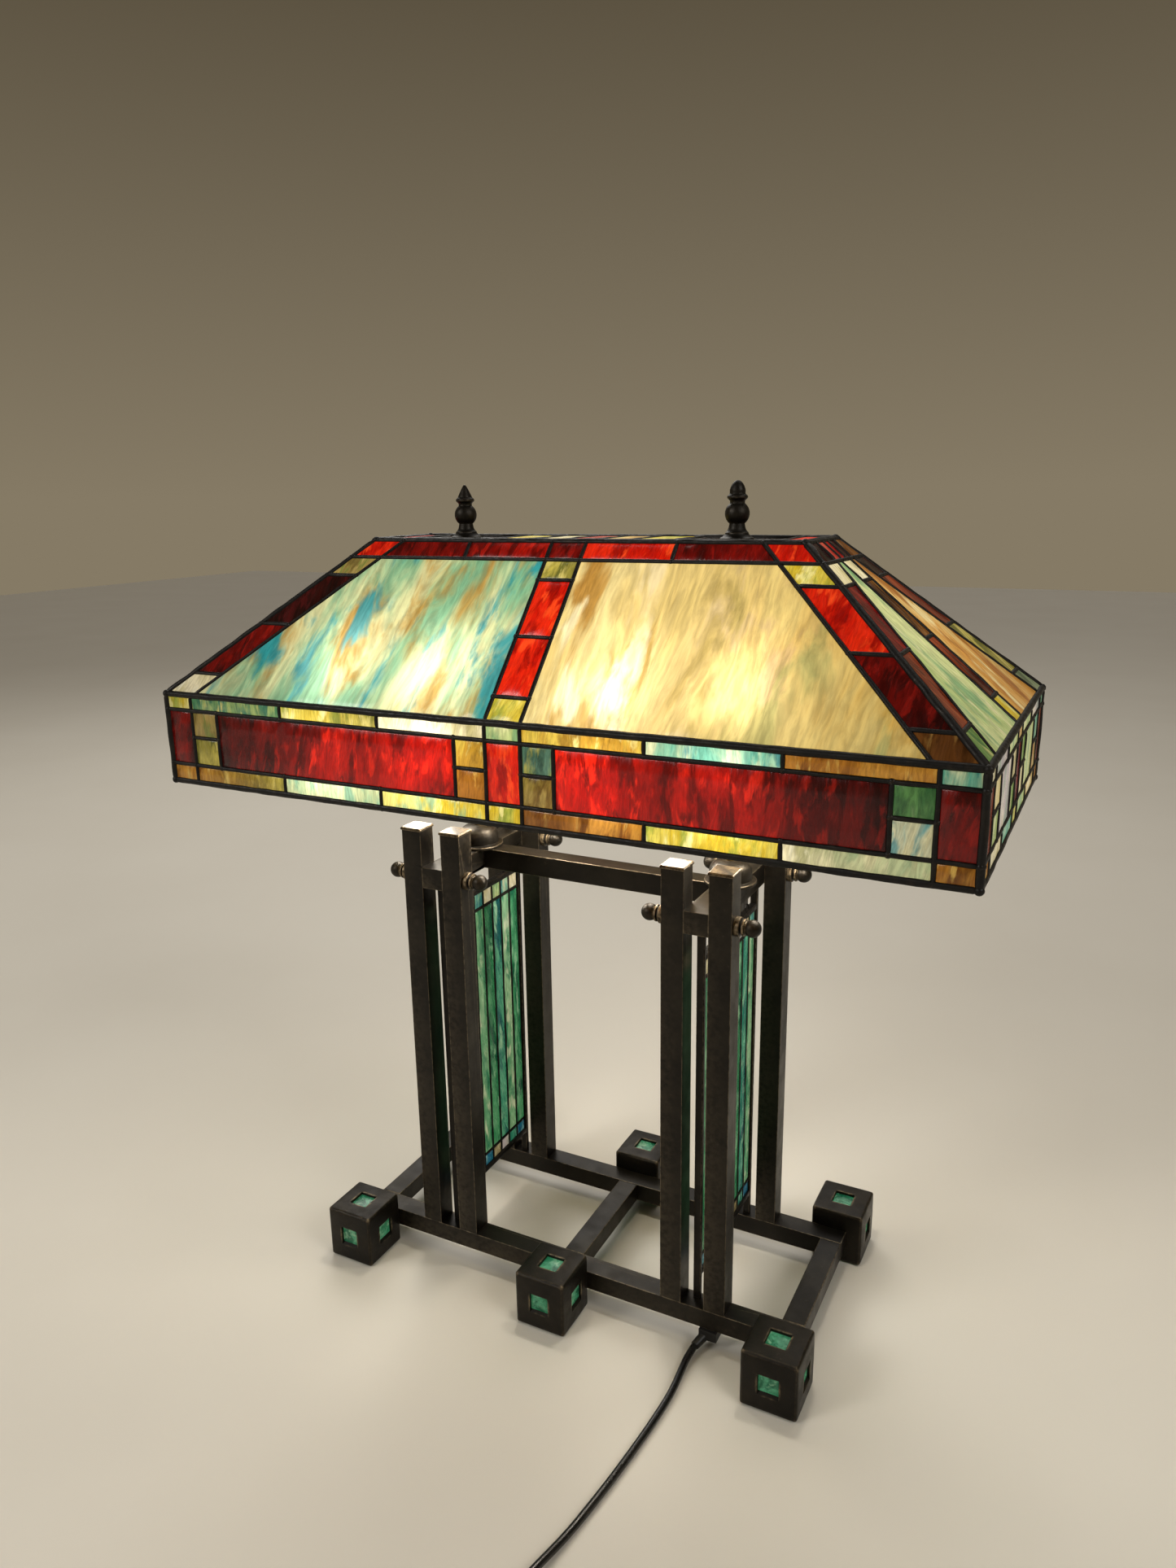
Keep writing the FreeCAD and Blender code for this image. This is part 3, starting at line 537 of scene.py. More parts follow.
# each lap's radius and height: two columns, three rows, and a last part lap in the groove on top
LAPS = [(OUTER, ROWS[0]), (INNER, ROWS[0]), (INNER, ROWS[1]), (OUTER, ROWS[1]),
        (INNER, ROWS[2]), (OUTER, ROWS[2]), (NESTED, ROWS[3])]


def coil_points():
    """The turns of the coil, counter-clockwise from its left edge, six and a quarter laps."""
    lap, window, per_lap = 338.0, 35.0, 24
    points = []
    step = 360 / per_lap
    for i in range(1, round(6.25 * per_lap)):
        turned = i * step
        index = min(int((turned + lap - 325) // lap), len(LAPS) - 1)
        start = 325 + lap * (index - 1) - window
        here = LAPS[index]
        if index + 1 < len(LAPS) and turned > start + lap:
            share = (turned - start - lap) / window
            share = share * share * (3 - 2 * share)
            here = [a + (b - a) * share for a, b in zip(LAPS[index], LAPS[index + 1])]
        radius = here[0] / math.cos(math.pi / per_lap)
        angle = math.radians(180 + turned)
        points.append((COIL_CENTRE[0] + radius * math.cos(angle),
                       COIL_CENTRE[1] + radius * math.sin(angle), here[1]))
    return points


def make_cord():
    points = LEAD_ROUTE + coil_points() + END_ROUTE
    curve = bpy.data.curves.new("power_cord", "CURVE")
    curve.dimensions = "3D"
    spline = curve.splines.new("NURBS")
    spline.points.add(len(points) - 1)
    for point, place in zip(spline.points, points):
        point.co = (*(Vector(place) * MM), 1.0)
    spline.order_u = 3
    spline.use_endpoint_u = True
    curve.bevel_depth = CORD_RADIUS
    curve.bevel_resolution = 6
    curve.resolution_u = 8
    curve.use_fill_caps = True
    curve.materials.append(CORD_BLACK)
    piece = bpy.data.objects.new("power_cord", curve)
    bpy.context.collection.objects.link(piece)
    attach(piece, "root")
    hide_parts("cord_lead", "cord_coil", "cord_end")


make_camera()
switch = refined("switch_body", MOULDED, 0.5 * MM)
rocker = refined("switch_rocker", MOULDED, 0.3 * MM, "switch_rocker")
plug = refined("plug", MOULDED, 0.3 * MM)
make_cord()
refined("cord_gland", MOULDED, 0.6 * MM)


# ---- glass tiles and their leading --------------------------------------------------------

class Tile:
    """A flat glass tile read from a CAD node: its plane, outline and thickness."""

    def __init__(self, corners, normal, inside):
        centre = sum(corners, Vector()) / len(corners)
        self.normal = normal
        if self.normal.dot(centre - inside) < 0:
            self.normal = -self.normal
        flat = abs(self.normal.z) > 0.99
        self.u = Vector((1, 0, 0)) if flat else UP.cross(self.normal).normalized()
        self.v = self.normal.cross(self.u)
        self.depth = centre.dot(self.normal)
        outer = [c for c in corners if (c - centre).dot(self.normal) > 0]
        outline = [Vector((c.dot(self.u), c.dot(self.v))) for c in outer]
        self.centre = sum(outline, Vector((0, 0))) / len(outline)
        outline.sort(key=lambda p: math.atan2(p.y - self.centre.y, p.x - self.centre.x))
        self.outline = outline
        self.thick = 2 * (outer[0] - centre).dot(self.normal)
        self.side = ("rear" if self.normal.y > 0.3 else "front" if self.normal.y < -0.3 else
                     "right" if self.normal.x > 0.3 else "left" if self.normal.x < -0.3 else "top")

    def at(self, point, lift=0.0):
        return self.u * point[0] + self.v * point[1] + self.normal * (self.depth + lift)

    def area(self):
        points = self.outline
        pairs = zip(points, points[1:] + points[:1])
        return sum(a.x * b.y - a.y * b.x for a, b in pairs) / 2


def tiles_of(node, inside):
    return [Tile(corners, normal, inside) for corners, normal in islands(node)]


def offset_outline(points, distance):
    """A convex outline with every edge moved outwards."""
    lines = []
    for a, b in zip(points, points[1:] + points[:1]):
        way = (b - a).normalized()
        out = Vector((way.y, -way.x))
        lines.append((out, out.dot(a) + distance))
    corners = []
    for (n0, c0), (n1, c1) in zip(lines[-1:] + lines[:-1], lines):
        det = n0.x * n1.y - n1.x * n0.y
        corners.append(Vector(((c0 * n1.y - c1 * n0.y) / det, (n0.x * c1 - n1.x * c0) / det)))
    return corners


def lead_lines(tiles, gap):
    """The straight lines between the tiles of one plane, each once."""
    lines = []
    for tile in tiles:
        outline = offset_outline(tile.outline, gap)
        for a, b in zip(outline, outline[1:] + outline[:1]):
            way = (b - a).normalized()
            if way.x < -1e-4 or (abs(way.x) <= 1e-4 and way.y < 0):
                way = -way
            normal = Vector((-way.y, way.x))
            offset = normal.dot(a)
            span = sorted((way.dot(a), way.dot(b)))
            for line in lines:
                if line[0].dot(way) > 0.9999 and abs(line[1].dot(a) - line[2]) < 0.5 * MM:
                    line[3].append([line[0].dot(a), line[0].dot(b)])
                    break
            else:
                lines.append((way, normal, offset, [span]))
    joined = []
    for way, normal, offset, spans in lines:
        spans = sorted(sorted(s) for s in spans)
        merged = [list(spans[0])]
        for low, high in spans[1:]:
            if low < merged[-1][1] + 0.8 * MM:
                merged[-1][1] = max(merged[-1][1], high)
            else:
                merged.append([low, high])
        for low, high in merged:
            joined.append((way * low + normal * offset, way * high + normal * offset))
    return joined


def add_tile(bm, layers, tile, recipe):
    """One slab of glass with eased edges, a faintly wavy face, and its tints and flow."""
    left, right = recipe
    seed = rng.uniform(0, 90)
    turn = Matrix.Rotation(math.radians(rng.gauss(5, 4)), 2)
    across, along = left["size"] * 20 * MM, left["size"] * 62 * MM
    tints = [[tone(code) for code in glass["tints"]] for glass in (left, right)]
    wide = [min(p.x for p in tile.outline), max(p.x for p in tile.outline)]
    c0, c1, c2, c3 = tile.outline
    ease = 0.7 * MM

    def stops(length):
        count = max(2, round(length / (11 * MM)))
        inner = [ease + (length - 2 * ease) * i / count for i in range(count + 1)]
        return [0.0] + [x / length for x in inner] + [1.0]

    rows = stops(((c1 - c2).length + (c3 - c0).length) / 2)
    columns = stops(((c1 - c0).length + (c2 - c3).length) / 2)
    faces = []
    for way in (1, -1):
        grid = []
        for t in rows:
            line = []
            for r in columns:
                point = (c0.lerp(c1, r)).lerp(c3.lerp(c2, r), t)
                border = t in (0.0, 1.0) or r in (0.0, 1.0)
                wave = noise.noise(Vector((point.x * 60, point.y * 60, seed))) * 0.16 * MM
                lift = tile.thick / 2 + (-0.5 * MM if border else wave)
                vert = bm.verts.new(tile.at(point, way * lift))
                drift = turn @ (point - tile.centre)
                vert[layers["flow"]] = Vector((drift.x / across, drift.y / along, seed))
                share = (point.x - wide[0]) / (wide[1] - wide[0])
                for k, name in enumerate(TINTS):
                    one, other = Vector(tints[0][k]), Vector(tints[1][k])
                    vert[layers[name]] = one.lerp(other, share)
                line.append(vert)
            grid.append(line)
        faces.append(grid)
        for low, high in zip(grid, grid[1:]):
            for i in range(len(columns) - 1):
                bm.faces.new((low[i], low[i + 1], high[i + 1], high[i]))

    def rim(grid):
        edge = grid[0] + [line[-1] for line in grid[1:]]
        edge += list(reversed(grid[-1]))[1:] + [line[0] for line in reversed(grid[1:-1])]
        return edge

    top, bottom = rim(faces[0]), rim(faces[1])
    for i in range(len(top)):
        j = (i + 1) % len(top)
        bm.faces.new((top[i], bottom[i], bottom[j], top[j]))


def glass_piece(name, tiles, recipes, body, slot, material, nodes):
    bm = bmesh.new()
    layers = {"flow": bm.verts.layers.float_vector.new("flow")}
    for tint in TINTS:
        layers[tint] = bm.verts.layers.float_color.new(tint)
    for tile, recipe in zip(tiles, recipes):
        add_tile(bm, layers, tile, recipe)
    return show(name, bm, body, material, nodes)


TINTS = ("tint_a", "tint_b", "tint_c", "tint_d")
# four tints of each glass, and how coarse its figure is
GLASS = {
    "teal": ("e2e4bc", "8fc0a4", "c29a50", "28a2b4", 1.75),
    "cream": ("f2e4b4", "e6cf94", "c08c38", "fff6d8", 1.8),
    "mint cream": ("d8b058", "ecd898", "a8bc8c", "b8842c", 1.8),
    "honey": ("d8a456", "e8c88c", "a86c2c", "f4e4b8", 1.0),
    "amber": ("b07a30", "cf9c48", "7c4c1c", "e4c070", 0.6),
    "amber yellow": ("c8a040", "e0c860", "a07c2c", "f4e8a0", 0.6),
    "yellow": ("d8c040", "e8dc74", "a0b054", "f8f0b0", 0.6),
    "yellow aqua": ("e4cc48", "e8e08c", "88b8a0", "f4ecb4", 0.7),
    "olive": ("a09850", "c8bc64", "6c7034", "dcd088", 0.6),
    "brown olive": ("7c6434", "948448", "54401c", "a49058", 0.6),
    "olive tan": ("b09c64", "c8b880", "7c6c3c", "8c9454", 0.6),
    "bright red": ("cc200c", "e8381a", "9c1006", "fa5c2c", 0.5),
    "red": ("9a120c", "b81e10", "640a06", "dc3018", 0.5),
    "dark red": ("6a0e0c", "84140e", "420806", "9c1e16", 0.5),
    "deep red": ("420c0c", "641210", "2c0606", "841c16", 0.5),
    "maroon": ("2c0c0a", "401210", "1c0606", "54181a", 0.7),
    "red brown": ("783018", "944424", "4c1c0c", "a85c38", 0.7),
    "brown": ("6c4420", "8c6030", "44280c", "a07c48", 0.7),
    "green": ("7ca060", "a4bc78", "4c7c4c", "d0d094", 0.6),
    "green streak": ("5c9470", "b0c488", "2c7c74", "e0d894", 0.6),
    "dark green": ("44744c", "6c9c64", "284c34", "8cb080", 0.6),
    "pale green": ("c0d498", "dce4b4", "8cb890", "f0ecc8", 0.9),
    "grey green": ("8c9c80", "a8b498", "5c6c54", "c4c8ac", 0.7),
    "aqua": ("5cb4a8", "a8d4bc", "e8e8c8", "3c98a4", 0.7),
    "pale aqua": ("c4d8b4", "e4e4bc", "88c0ac", "f4f0cc", 0.6),
    "olive teal": ("54786c", "84904c", "2c4c44", "a8a45c", 0.6),
    "lavender": ("c4bccc", "e0d8dc", "98b0a8", "f0e8e0", 0.7),
    "pale cream": ("ece4c4", "f8f0d8", "c8c094", "fffcec", 0.7),
    "cream blue": ("d8dcc8", "ecE8c8", "6cacb8", "f8f0d0", 0.6),
    "pink red": ("c85448", "dc7c68", "a03028", "e8a890", 0.7),
    "strip green": ("3c946c", "6cbc90", "186050", "a4d8b8", 0.55),
    "strip teal": ("389888", "74c4a8", "186470", "b0e0c4", 0.55),
    "strip light": ("84c49c", "acd8b4", "409878", "e4f0d8", 0.55),
    "strip blue": ("3088ac", "64b0c8", "1c5c84", "a0d0d8", 0.5),
    "strip tan": ("a09478", "bcb090", "787054", "d0c8a8", 0.5),
    "mint": ("3c9c78", "6cc4a0", "1f7458", "a4dcbc", 0.5),
}
GLASS = {name: {"tints": given[:4], "size": given[4]} for name, given in GLASS.items()}


def by_row(tiles, cuts):
    """Tiles in rows from the bottom up, each row from left to right."""
    low = min(p.y for t in tiles for p in t.outline)
    high = max(p.y for t in tiles for p in t.outline)
    rows = [[] for _ in range(len(cuts) + 1)]
    for tile in tiles:
        share = (tile.centre.y - low) / (high - low)
        rows[sum(share > cut for cut in cuts)].append(tile)
    for row in rows:
        row.sort(key=lambda t: (round(t.centre.x, 3), t.centre.y))
    return rows


def spell(names, tiles):
    """The glass of each tile; two names with > between them run from left to right."""
    assert len(names) == len(tiles), (names, len(tiles))
    return [(GLASS[name.split(">")[0]], GLASS[name.split(">")[-1]]) for name in names]


ROOF_FRONT = {
    "band": ["bright red", "dark red", "dark red>red", "dark red", "bright red", "dark red",
             "bright red"],
    "column": ["yellow", "bright red", "bright red", "olive"],
    "mains": ["teal", "cream>mint cream"],
    "hip_left": ["pale cream", "dark red", "maroon", "olive tan"],
    "hip_right": ["brown", "dark red>deep red", "bright red", "yellow"],
}
ROOF_END = {
    "band": ["maroon", "pink red", "red", "maroon", "brown"],
    "column": ["yellow", "red brown", "brown", "pale cream"],
    "mains": ["pale green", "honey"],
    "hip_left": ["green", "red brown", "dark red", "pale cream"],
    "hip_right": ["grey green", "olive", "red brown", "maroon"],
}
SKIRT_FRONT = {
    "top": ["yellow", "green streak", "yellow>olive", "pale cream", "pale green", "amber yellow",
            "aqua", "amber", "aqua"],
    "middle": ["dark red", "olive", "olive tan", "deep red>red", "amber", "amber yellow",
               "bright red", "brown olive", "olive teal", "red>deep red", "cream blue",
               "dark green", "dark red"],
    "bottom": ["amber", "amber>olive", "pale aqua", "yellow aqua", "yellow", "brown>amber",
               "yellow", "pale cream>pale aqua", "amber"],
}
SKIRT_END = {
    "top": ["pale cream", "lavender", "pale green", "cream", "pale green", "lavender", "aqua"],
    "middle": ["red brown", "pale green", "cream", "lavender", "green", "pale cream", "dark red",
               "pale cream", "green", "pale green", "cream", "aqua", "red brown"],
    "bottom": ["amber", "pale cream", "aqua", "yellow", "pale green", "cream", "amber"],
}


def roof_recipes(tiles, plan):
    """Names each tile of a sloping side: top band, centre column, mains and hip bands."""
    low = min(p.y for t in tiles for p in t.outline)
    high = max(p.y for t in tiles for p in t.outline)
    band = sorted((t for t in tiles if (t.centre.y - low) / (high - low) > 0.9),
                  key=lambda t: t.centre.x)
    rest = [t for t in tiles if t not in band]
    mains = sorted(sorted(rest, key=lambda t: -t.area())[:2], key=lambda t: t.centre.x)
    rest = [t for t in rest if t not in mains]
    column = sorted((t for t in rest if abs(t.centre.x) < 2 * MM), key=lambda t: t.centre.y)
    left = sorted((t for t in rest if t.centre.x < -2 * MM), key=lambda t: t.centre.y)
    right = sorted((t for t in rest if t.centre.x > 2 * MM), key=lambda t: t.centre.y)
    ordered, recipes = [], []
    for group, key in ((band, "band"), (column, "column"), (mains, "mains"),
                       (left, "hip_left"), (right, "hip_right")):
        ordered += group
        recipes += spell(plan[key], group)
    return ordered, recipes


def skirt_recipes(tiles, plan):
    bottom, middle_row, top = by_row(tiles, (0.21, 0.81))
    ordered, recipes = [], []
    for group, key in ((bottom, "bottom"), (middle_row, "middle"), (top, "top")):
        ordered += group
        recipes += spell(plan[key], group)
    return ordered, recipes


def leading(bm, tiles, gap, wide, tall, blob_size):
    """Solder along every line between the tiles, with a drop at each end."""
    for a, b in lead_lines(tiles, gap):
        start, end = tiles[0].at(a), tiles[0].at(b)
        bead(bm, start, end, tiles[0].normal, wide, tall, rng.uniform(0, 99))
        for point in (start, end):
            size = blob_size * rng.uniform(0.92, 1.1)
            blob(bm, point, tiles[0].normal, wide * size, tall * rng.uniform(1.0, 1.12))


INSIDE_SHADE = Vector((0, 0, middle("skirt_came_front").z))
LEAD_GAP = 1.7 * MM


def make_shade():
    by_side = {}
    for node in ("roof_glass", "skirt_glass"):
        for tile in tiles_of(node, INSIDE_SHADE):
            kind = "skirt" if abs(tile.normal.z) < 0.1 else "roof"
            by_side.setdefault((kind, tile.side), []).append(tile)
    roof_all, skirt_all = [[], []], [[], []]
    for (kind, side), tiles in sorted(by_side.items()):
        wide = side in ("front", "rear")
        if kind == "roof":
            ordered, recipes = roof_recipes(tiles, ROOF_FRONT if wide else ROOF_END)
            total = roof_all
        else:
            ordered, recipes = skirt_recipes(tiles, SKIRT_FRONT if wide else SKIRT_END)
            total = skirt_all
        total[0] += ordered
        total[1] += recipes
        bm = bmesh.new()
        leading(bm, tiles, LEAD_GAP, 2.15 * MM, 2.7 * MM, 1.28)
        show(f"{kind}_leading_{side}", bm, "shade", SOLDER, [f"{kind}_came_{side}"], 60)
    glass_piece("roof_opal_glass", *roof_all, "shade", "shade_glass", SHADE_GLASS, ["roof_glass"])
    glass_piece("skirt_opal_glass", *skirt_all, "shade", "shade_glass", SHADE_GLASS,
                ["skirt_glass"])
    top = sorted(tiles_of("top_glass", INSIDE_SHADE), key=lambda t: t.centre.x)
    names = ["bright red", "yellow", "pale cream", "pink red", "cream", "yellow", "bright red"]
    glass_piece("top_opal_glass", top, spell(names, top), "shade", "shade_glass", SHADE_GLASS,
                ["top_glass"])
    bm = bmesh.new()
    leading(bm, top, LEAD_GAP, 2.15 * MM, 2.5 * MM, 1.25)
    show("top_leading", bm, "shade", SOLDER, ["top_came"], 60)


def make_seams():
    """Heavier solder along the hips, eaves, corners, top edge and bottom edge."""
    skirt_low, skirt_high = at("skirt_came_front")
    _, top_high = at("top_came")
    out_x, out_y = skirt_high.x, -skirt_low.y
    inset = 1.7 * MM
    levels = {
        "bottom": (out_x - inset, out_y - inset, skirt_low.z + 1.6 * MM),
        "eaves": (out_x - inset, out_y - inset, skirt_high.z - 1.0 * MM),
        "top": (top_high.x - inset, top_high.y - inset, top_high.z - 1.9 * MM),
    }
    signs = [(-1, -1), (1, -1), (1, 1), (-1, 1)]

    def corner(level, sign):
        x, y, z = levels[level]
        return Vector((sign[0] * x, sign[1] * y, z))

    bm = bmesh.new()
    sizes = {"bottom": (2.5, 3.0), "eaves": (3.0, 2.9), "top": (2.9, 2.8)}
    for level, (wide, tall) in sizes.items():
        for a, b in zip(signs, signs[1:] + signs[:1]):
            start, end = corner(level, a), corner(level, b)
            out = Vector((a[0] + b[0], a[1] + b[1], 0)).normalized()
            up = UP if level == "bottom" else (out + UP * 0.8).normalized()
            bead(bm, start, end, up, wide * MM, tall * MM, rng.uniform(0, 99), 12)
    for sign in signs:
        out = Vector((sign[0], sign[1], 0)).normalized()
        bead(bm, corner("bottom", sign), corner("eaves", sign), out, 2.9 * MM, 2.9 * MM,
             rng.uniform(0, 99), 12)
        bead(bm, corner("eaves", sign), corner("top", sign), out + UP, 3.2 * MM, 3.0 * MM,
             rng.uniform(0, 99), 12)
        for level in levels:
            blob(bm, corner(level, sign), out + UP * 0.5, 3.6 * MM, 3.5 * MM)
    show("shade_seams", bm, "shade", SOLDER, (), 60)


def make_vents():
    """Square cast plates with a stippled skin, a plain rim with a bead along two edges, and a plain
    round patch round the riser.
    """
    bm = bmesh.new()
    for corners, _ in islands("vent_plates"):
        low = Vector([min(c[k] for c in corners) for k in range(3)])
        high = Vector([max(c[k] for c in corners) for k in range(3)])
        bar(bm, low, high - Vector((0, 0, 0.5 * MM)), 0.3 * MM, 2)
        pitch = 3.4 * MM
        rim = 4.5 * MM
        count_x = int((high.x - low.x - 2 * rim) / pitch)
        count_y = int((high.y - low.y - 2 * rim) / pitch)
        centre = (low + high) / 2
        for i in range(count_x):
            for j in range(count_y):
                x = centre.x + (i - (count_x - 1) / 2 + rng.uniform(-0.2, 0.2)) * pitch
                y = centre.y + (j - (count_y - 1) / 2 + rng.uniform(-0.2, 0.2)) * pitch
                if math.hypot(x - centre.x, y - centre.y) < 18 * MM:
                    continue
                bump_up(bm, x, y, high.z - 0.5 * MM, 1.7 * MM, rng.uniform(0.35, 0.6) * MM)
        for way in (-1, 1):
            edge_x = centre.x + way * (high.x - centre.x - 1.6 * MM)
            bead(bm, Vector((edge_x, low.y + MM, high.z - 0.4 * MM)),
                 Vector((edge_x, high.y - MM, high.z - 0.4 * MM)), UP, 1.6 * MM, 1.0 * MM, 4 + way)
    show("stippled_vents", bm, "shade", VENT_METAL, ["vent_plates"])


make_shade()
make_seams()
make_vents()


# ---- finials, risers, cups, lights ----------------------------------------------------------

FINIAL_FOOT = [(14.0, 0.0), (14.1, 0.7), (13.6, 1.6), (12.0, 2.4), (10.4, 3.8), (9.6, 5.0),
               (9.4, 5.8), (8.2, 7.0), (7.0, 9.2), (6.2, 13.2)]
FINIAL_WAIST = [(6.0, 29.6), (6.3, 31.0), (8.0, 32.6), (8.4, 33.7), (8.0, 34.8), (6.5, 36.3)]
TIPS = {"left": [(6.0, 37.6), (5.0, 39.6), (3.1, 43.4), (1.2, 46.6), (0.1, 47.3)],
        "right": [(6.4, 37.8), (6.3, 39.6), (5.2, 42.6), (3.6, 45.0), (1.6, 46.6), (0.1, 46.9)]}


def make_finials():
    for side, sign in SIDES.items():
        low, high = at(f"finial_{side}")
        profile = smooth_profile(FINIAL_FOOT) + list(reversed(ball(20.8, 10.0, 38, 140)))
        profile += smooth_profile(FINIAL_WAIST + TIPS[side])
        bm = bmesh.new()
        lathe(bm, profile, Vector(((low.x + high.x) / 2, 0, low.z)), UP, 72)
        show(f"turned_finial_{side}", bm, f"finial_{side}", CAST_BRONZE,
             [f"finial_{side}"])


NUT_STEPS = [(8.0, 0.0), (8.3, 0.5), (8.3, 4.0), (7.9, 4.5), (6.2, 5.0), (5.8, 5.4), (5.8, 6.2),
             (7.1, 6.6), (7.3, 7.3), (7.1, 8.2), (5.7, 8.8), (5.4, 9.4)]


def make_nuts():
    bm = bmesh.new()
    profile = NUT_STEPS + list(reversed(ball(14.2, 7.4, 0, 134, 20)))
    tower = abs(middle("yoke_right").x)
    for corners, _ in islands("ball_nuts"):
        xs = [c.x for c in corners]
        centre = sum(corners, Vector()) / len(corners)
        out = math.copysign(1, centre.x - math.copysign(tower, centre.x))
        base = min(xs) if out > 0 else max(xs)
        lathe(bm, profile, Vector((base, centre.y, middle("tie_rods").z)),
              Vector((out, 0, 0)), 56)
    show("turned_ball_nuts", bm, "root", CAST_BRONZE, ["ball_nuts"])


CUP = [(23.0, 0.0), (23.2, 0.6), (23.2, 1.9), (22.6, 2.7), (20.6, 3.1), (18.8, 3.5), (18.9, 5.0),
       (18.9, 9.6), (18.2, 13.4), (16.6, 16.6), (13.6, 19.0), (9.8, 20.3), (7.6, 20.8), (5.2, 20.8)]


def make_cups():
    low, high = at("riser_cups")
    bm = bmesh.new()
    for sign in SIDES.values():
        lathe(bm, smooth_profile(CUP, 3), Vector((sign * middle("yoke_right").x, 0, low.z)))
    show("spun_riser_cups", bm, "root", CAST_BRONZE, ["riser_cups"])


def make_lights():
    """Bulbs, ribbed lampholders and the lamps that light the inside of the shade."""
    tilt = math.radians(70)
    holders = bmesh.new()
    for side, sign in SIDES.items():
        centre_x = sign * middle("yoke_right").x
        for place in ("inner", "outer"):
            low, high = at(f"bulb_{side}_{place}")
            way = math.copysign(1, (low.x + high.x) / 2 - centre_x)
            along = Vector((way * math.cos(tilt), 0, -math.sin(tilt)))
            root = Vector((centre_x + way * 24 * MM, 0, middle("light_clusters").z - 3 * MM))
            start = root + along * (30 * MM)
            profile = [(3.2, 0.4), (5.0, 1.0), (6.5, 2.4), (12.6, 4.4)]
            for thread in range(5):
                profile += [(13.0, 6 + thread * 3.2), (12.2, 7.6 + thread * 3.2)]
            profile += [(13.0, 23.0), (13.2, 27.0), (14.2, 32.0), (16.4, 38.5)]
            profile += list(reversed(ball(55.5, 22.5, 0, 128, 24)))
            bm = bmesh.new()
            lathe(bm, profile, start, along, 48)
            show(f"globe_bulb_{side}_{place}", bm, f"bulb_{side}_{place}", BULB,
                 [f"bulb_{side}_{place}"])
            shell = [(13.7, 44.0), (18.0, 44.0), (18.2, 43.2), (18.2, 40.8), (17.6, 40.2)]
            for rib in range(6):
                shell += [(17.6, 38.6 - rib * 4.0), (17.0, 37.8 - rib * 4.0),
                          (17.0, 36.4 - rib * 4.0), (17.6, 35.6 - rib * 4.0)]
            shell += [(17.6, 13.0), (16.4, 10.0), (13.0, 5.0), (9.5, 0.0)]
            rings = [(r, h + 12) for r, h in shell]
            lathe(holders, rings, root, along, 48)
            lamp = bpy.data.lights.new(f"lamp_{side}_{place}", "POINT")
            lamp.energy = 1.6
            lamp.color = (1.0, 0.94, 0.84)
            lamp.shadow_soft_size = 24 * MM
            light = bpy.data.objects.new(f"lamp_{side}_{place}", lamp)
            light.location = root + along * (118 * MM)
            bpy.context.collection.objects.link(light)
    show("ribbed_lampholders", holders, "root", PHENOLIC, ["lampholders"])


make_finials()
make_nuts()
make_cups()
make_lights()


# ---- metal stand ------------------------------------------------------------------------------

def make_stand():
    for node in ("front_rail", "rear_rail", "cross_rail_left", "cross_rail_middle",
                 "cross_rail_right", "top_beam", "yoke_left", "yoke_right", "panel_stiles",
                 "posts_left_front", "posts_left_rear", "posts_right_front", "posts_right_rear"):
        refined(node, BRONZE, 0.7 * MM)
    refined("post_caps", CAST_BRONZE, 0.5 * MM)
    refined("tie_rods", STEEL, 0.4 * MM)
    for node in ("riser_tubes", "shade_seats", "light_clusters"):
        refined(node, OLD_BRASS, 0.3 * MM)
    refined("wiring", CORD_BLACK, 0.1 * MM)
    refined("foot_pads", FELT, 0.3 * MM)


POCKET_HALF = 9.2
POCKET_DEEP = 3.0


def foot_stops():
    """Grid lines across a foot's face, doubled at the pocket's lip and wall."""
    outer = [-25, -24.7, -24.2, -23.5, -22.6, -21.2, -19, -16.4, -13.8, -11.6]
    lip = [-POCKET_HALF - 0.55, -POCKET_HALF - 0.15, -POCKET_HALF]
    half = outer + lip + [-POCKET_HALF + 0.12, -6.6, -3.3]
    return half + [0.0] + [-x for x in reversed(half)]


def foot_face(bm, normal, centre, pocket, half_up):
    """One pillowed face of a cast foot, with or without a square pocket."""
    across = Vector((1, 0, 0)) if abs(normal.z) > 0.5 else UP.cross(normal)
    over = normal.cross(across)
    round_off = 2.4
    grid = []
    for b in foot_stops():
        line = []
        for a in foot_stops():
            size_b = b / 25 * half_up if abs(normal.z) < 0.5 else b
            spot = [a, size_b, 25.0]
            limits = (25.0, half_up if abs(normal.z) < 0.5 else 25.0, 25.0)
            core = [max(-l + round_off, min(l - round_off, x)) for x, l in zip(spot, limits)]
            away = Vector([x - c for x, c in zip(spot, core)])
            spot = Vector(core) + away.normalized() * round_off
            swell = (1 - (a / 25) ** 2) * (1 - (b / 25) ** 2)
            spot.z += 1.1 * swell
            lip = max(abs(a), abs(size_b))
            if pocket and lip < POCKET_HALF - 0.02:
                spot.z = 25.0 - POCKET_DEEP
            elif pocket and lip < POCKET_HALF + 0.05:
                spot.z -= 0.5
            elif pocket and lip < POCKET_HALF + 0.3:
                spot.z -= 0.14
            dent = noise.noise(centre * 37 + Vector((a, b, 0)) * 0.11) * 0.12
            spot.z += dent
            local = across * spot.x + over * spot.y + normal * spot.z
            line.append(bm.verts.new(centre + local * MM))
        grid.append(line)
    for low, high in zip(grid, grid[1:]):
        for i in range(len(low) - 1):
            bm.faces.new((low[i], low[i + 1], high[i + 1], high[i]))


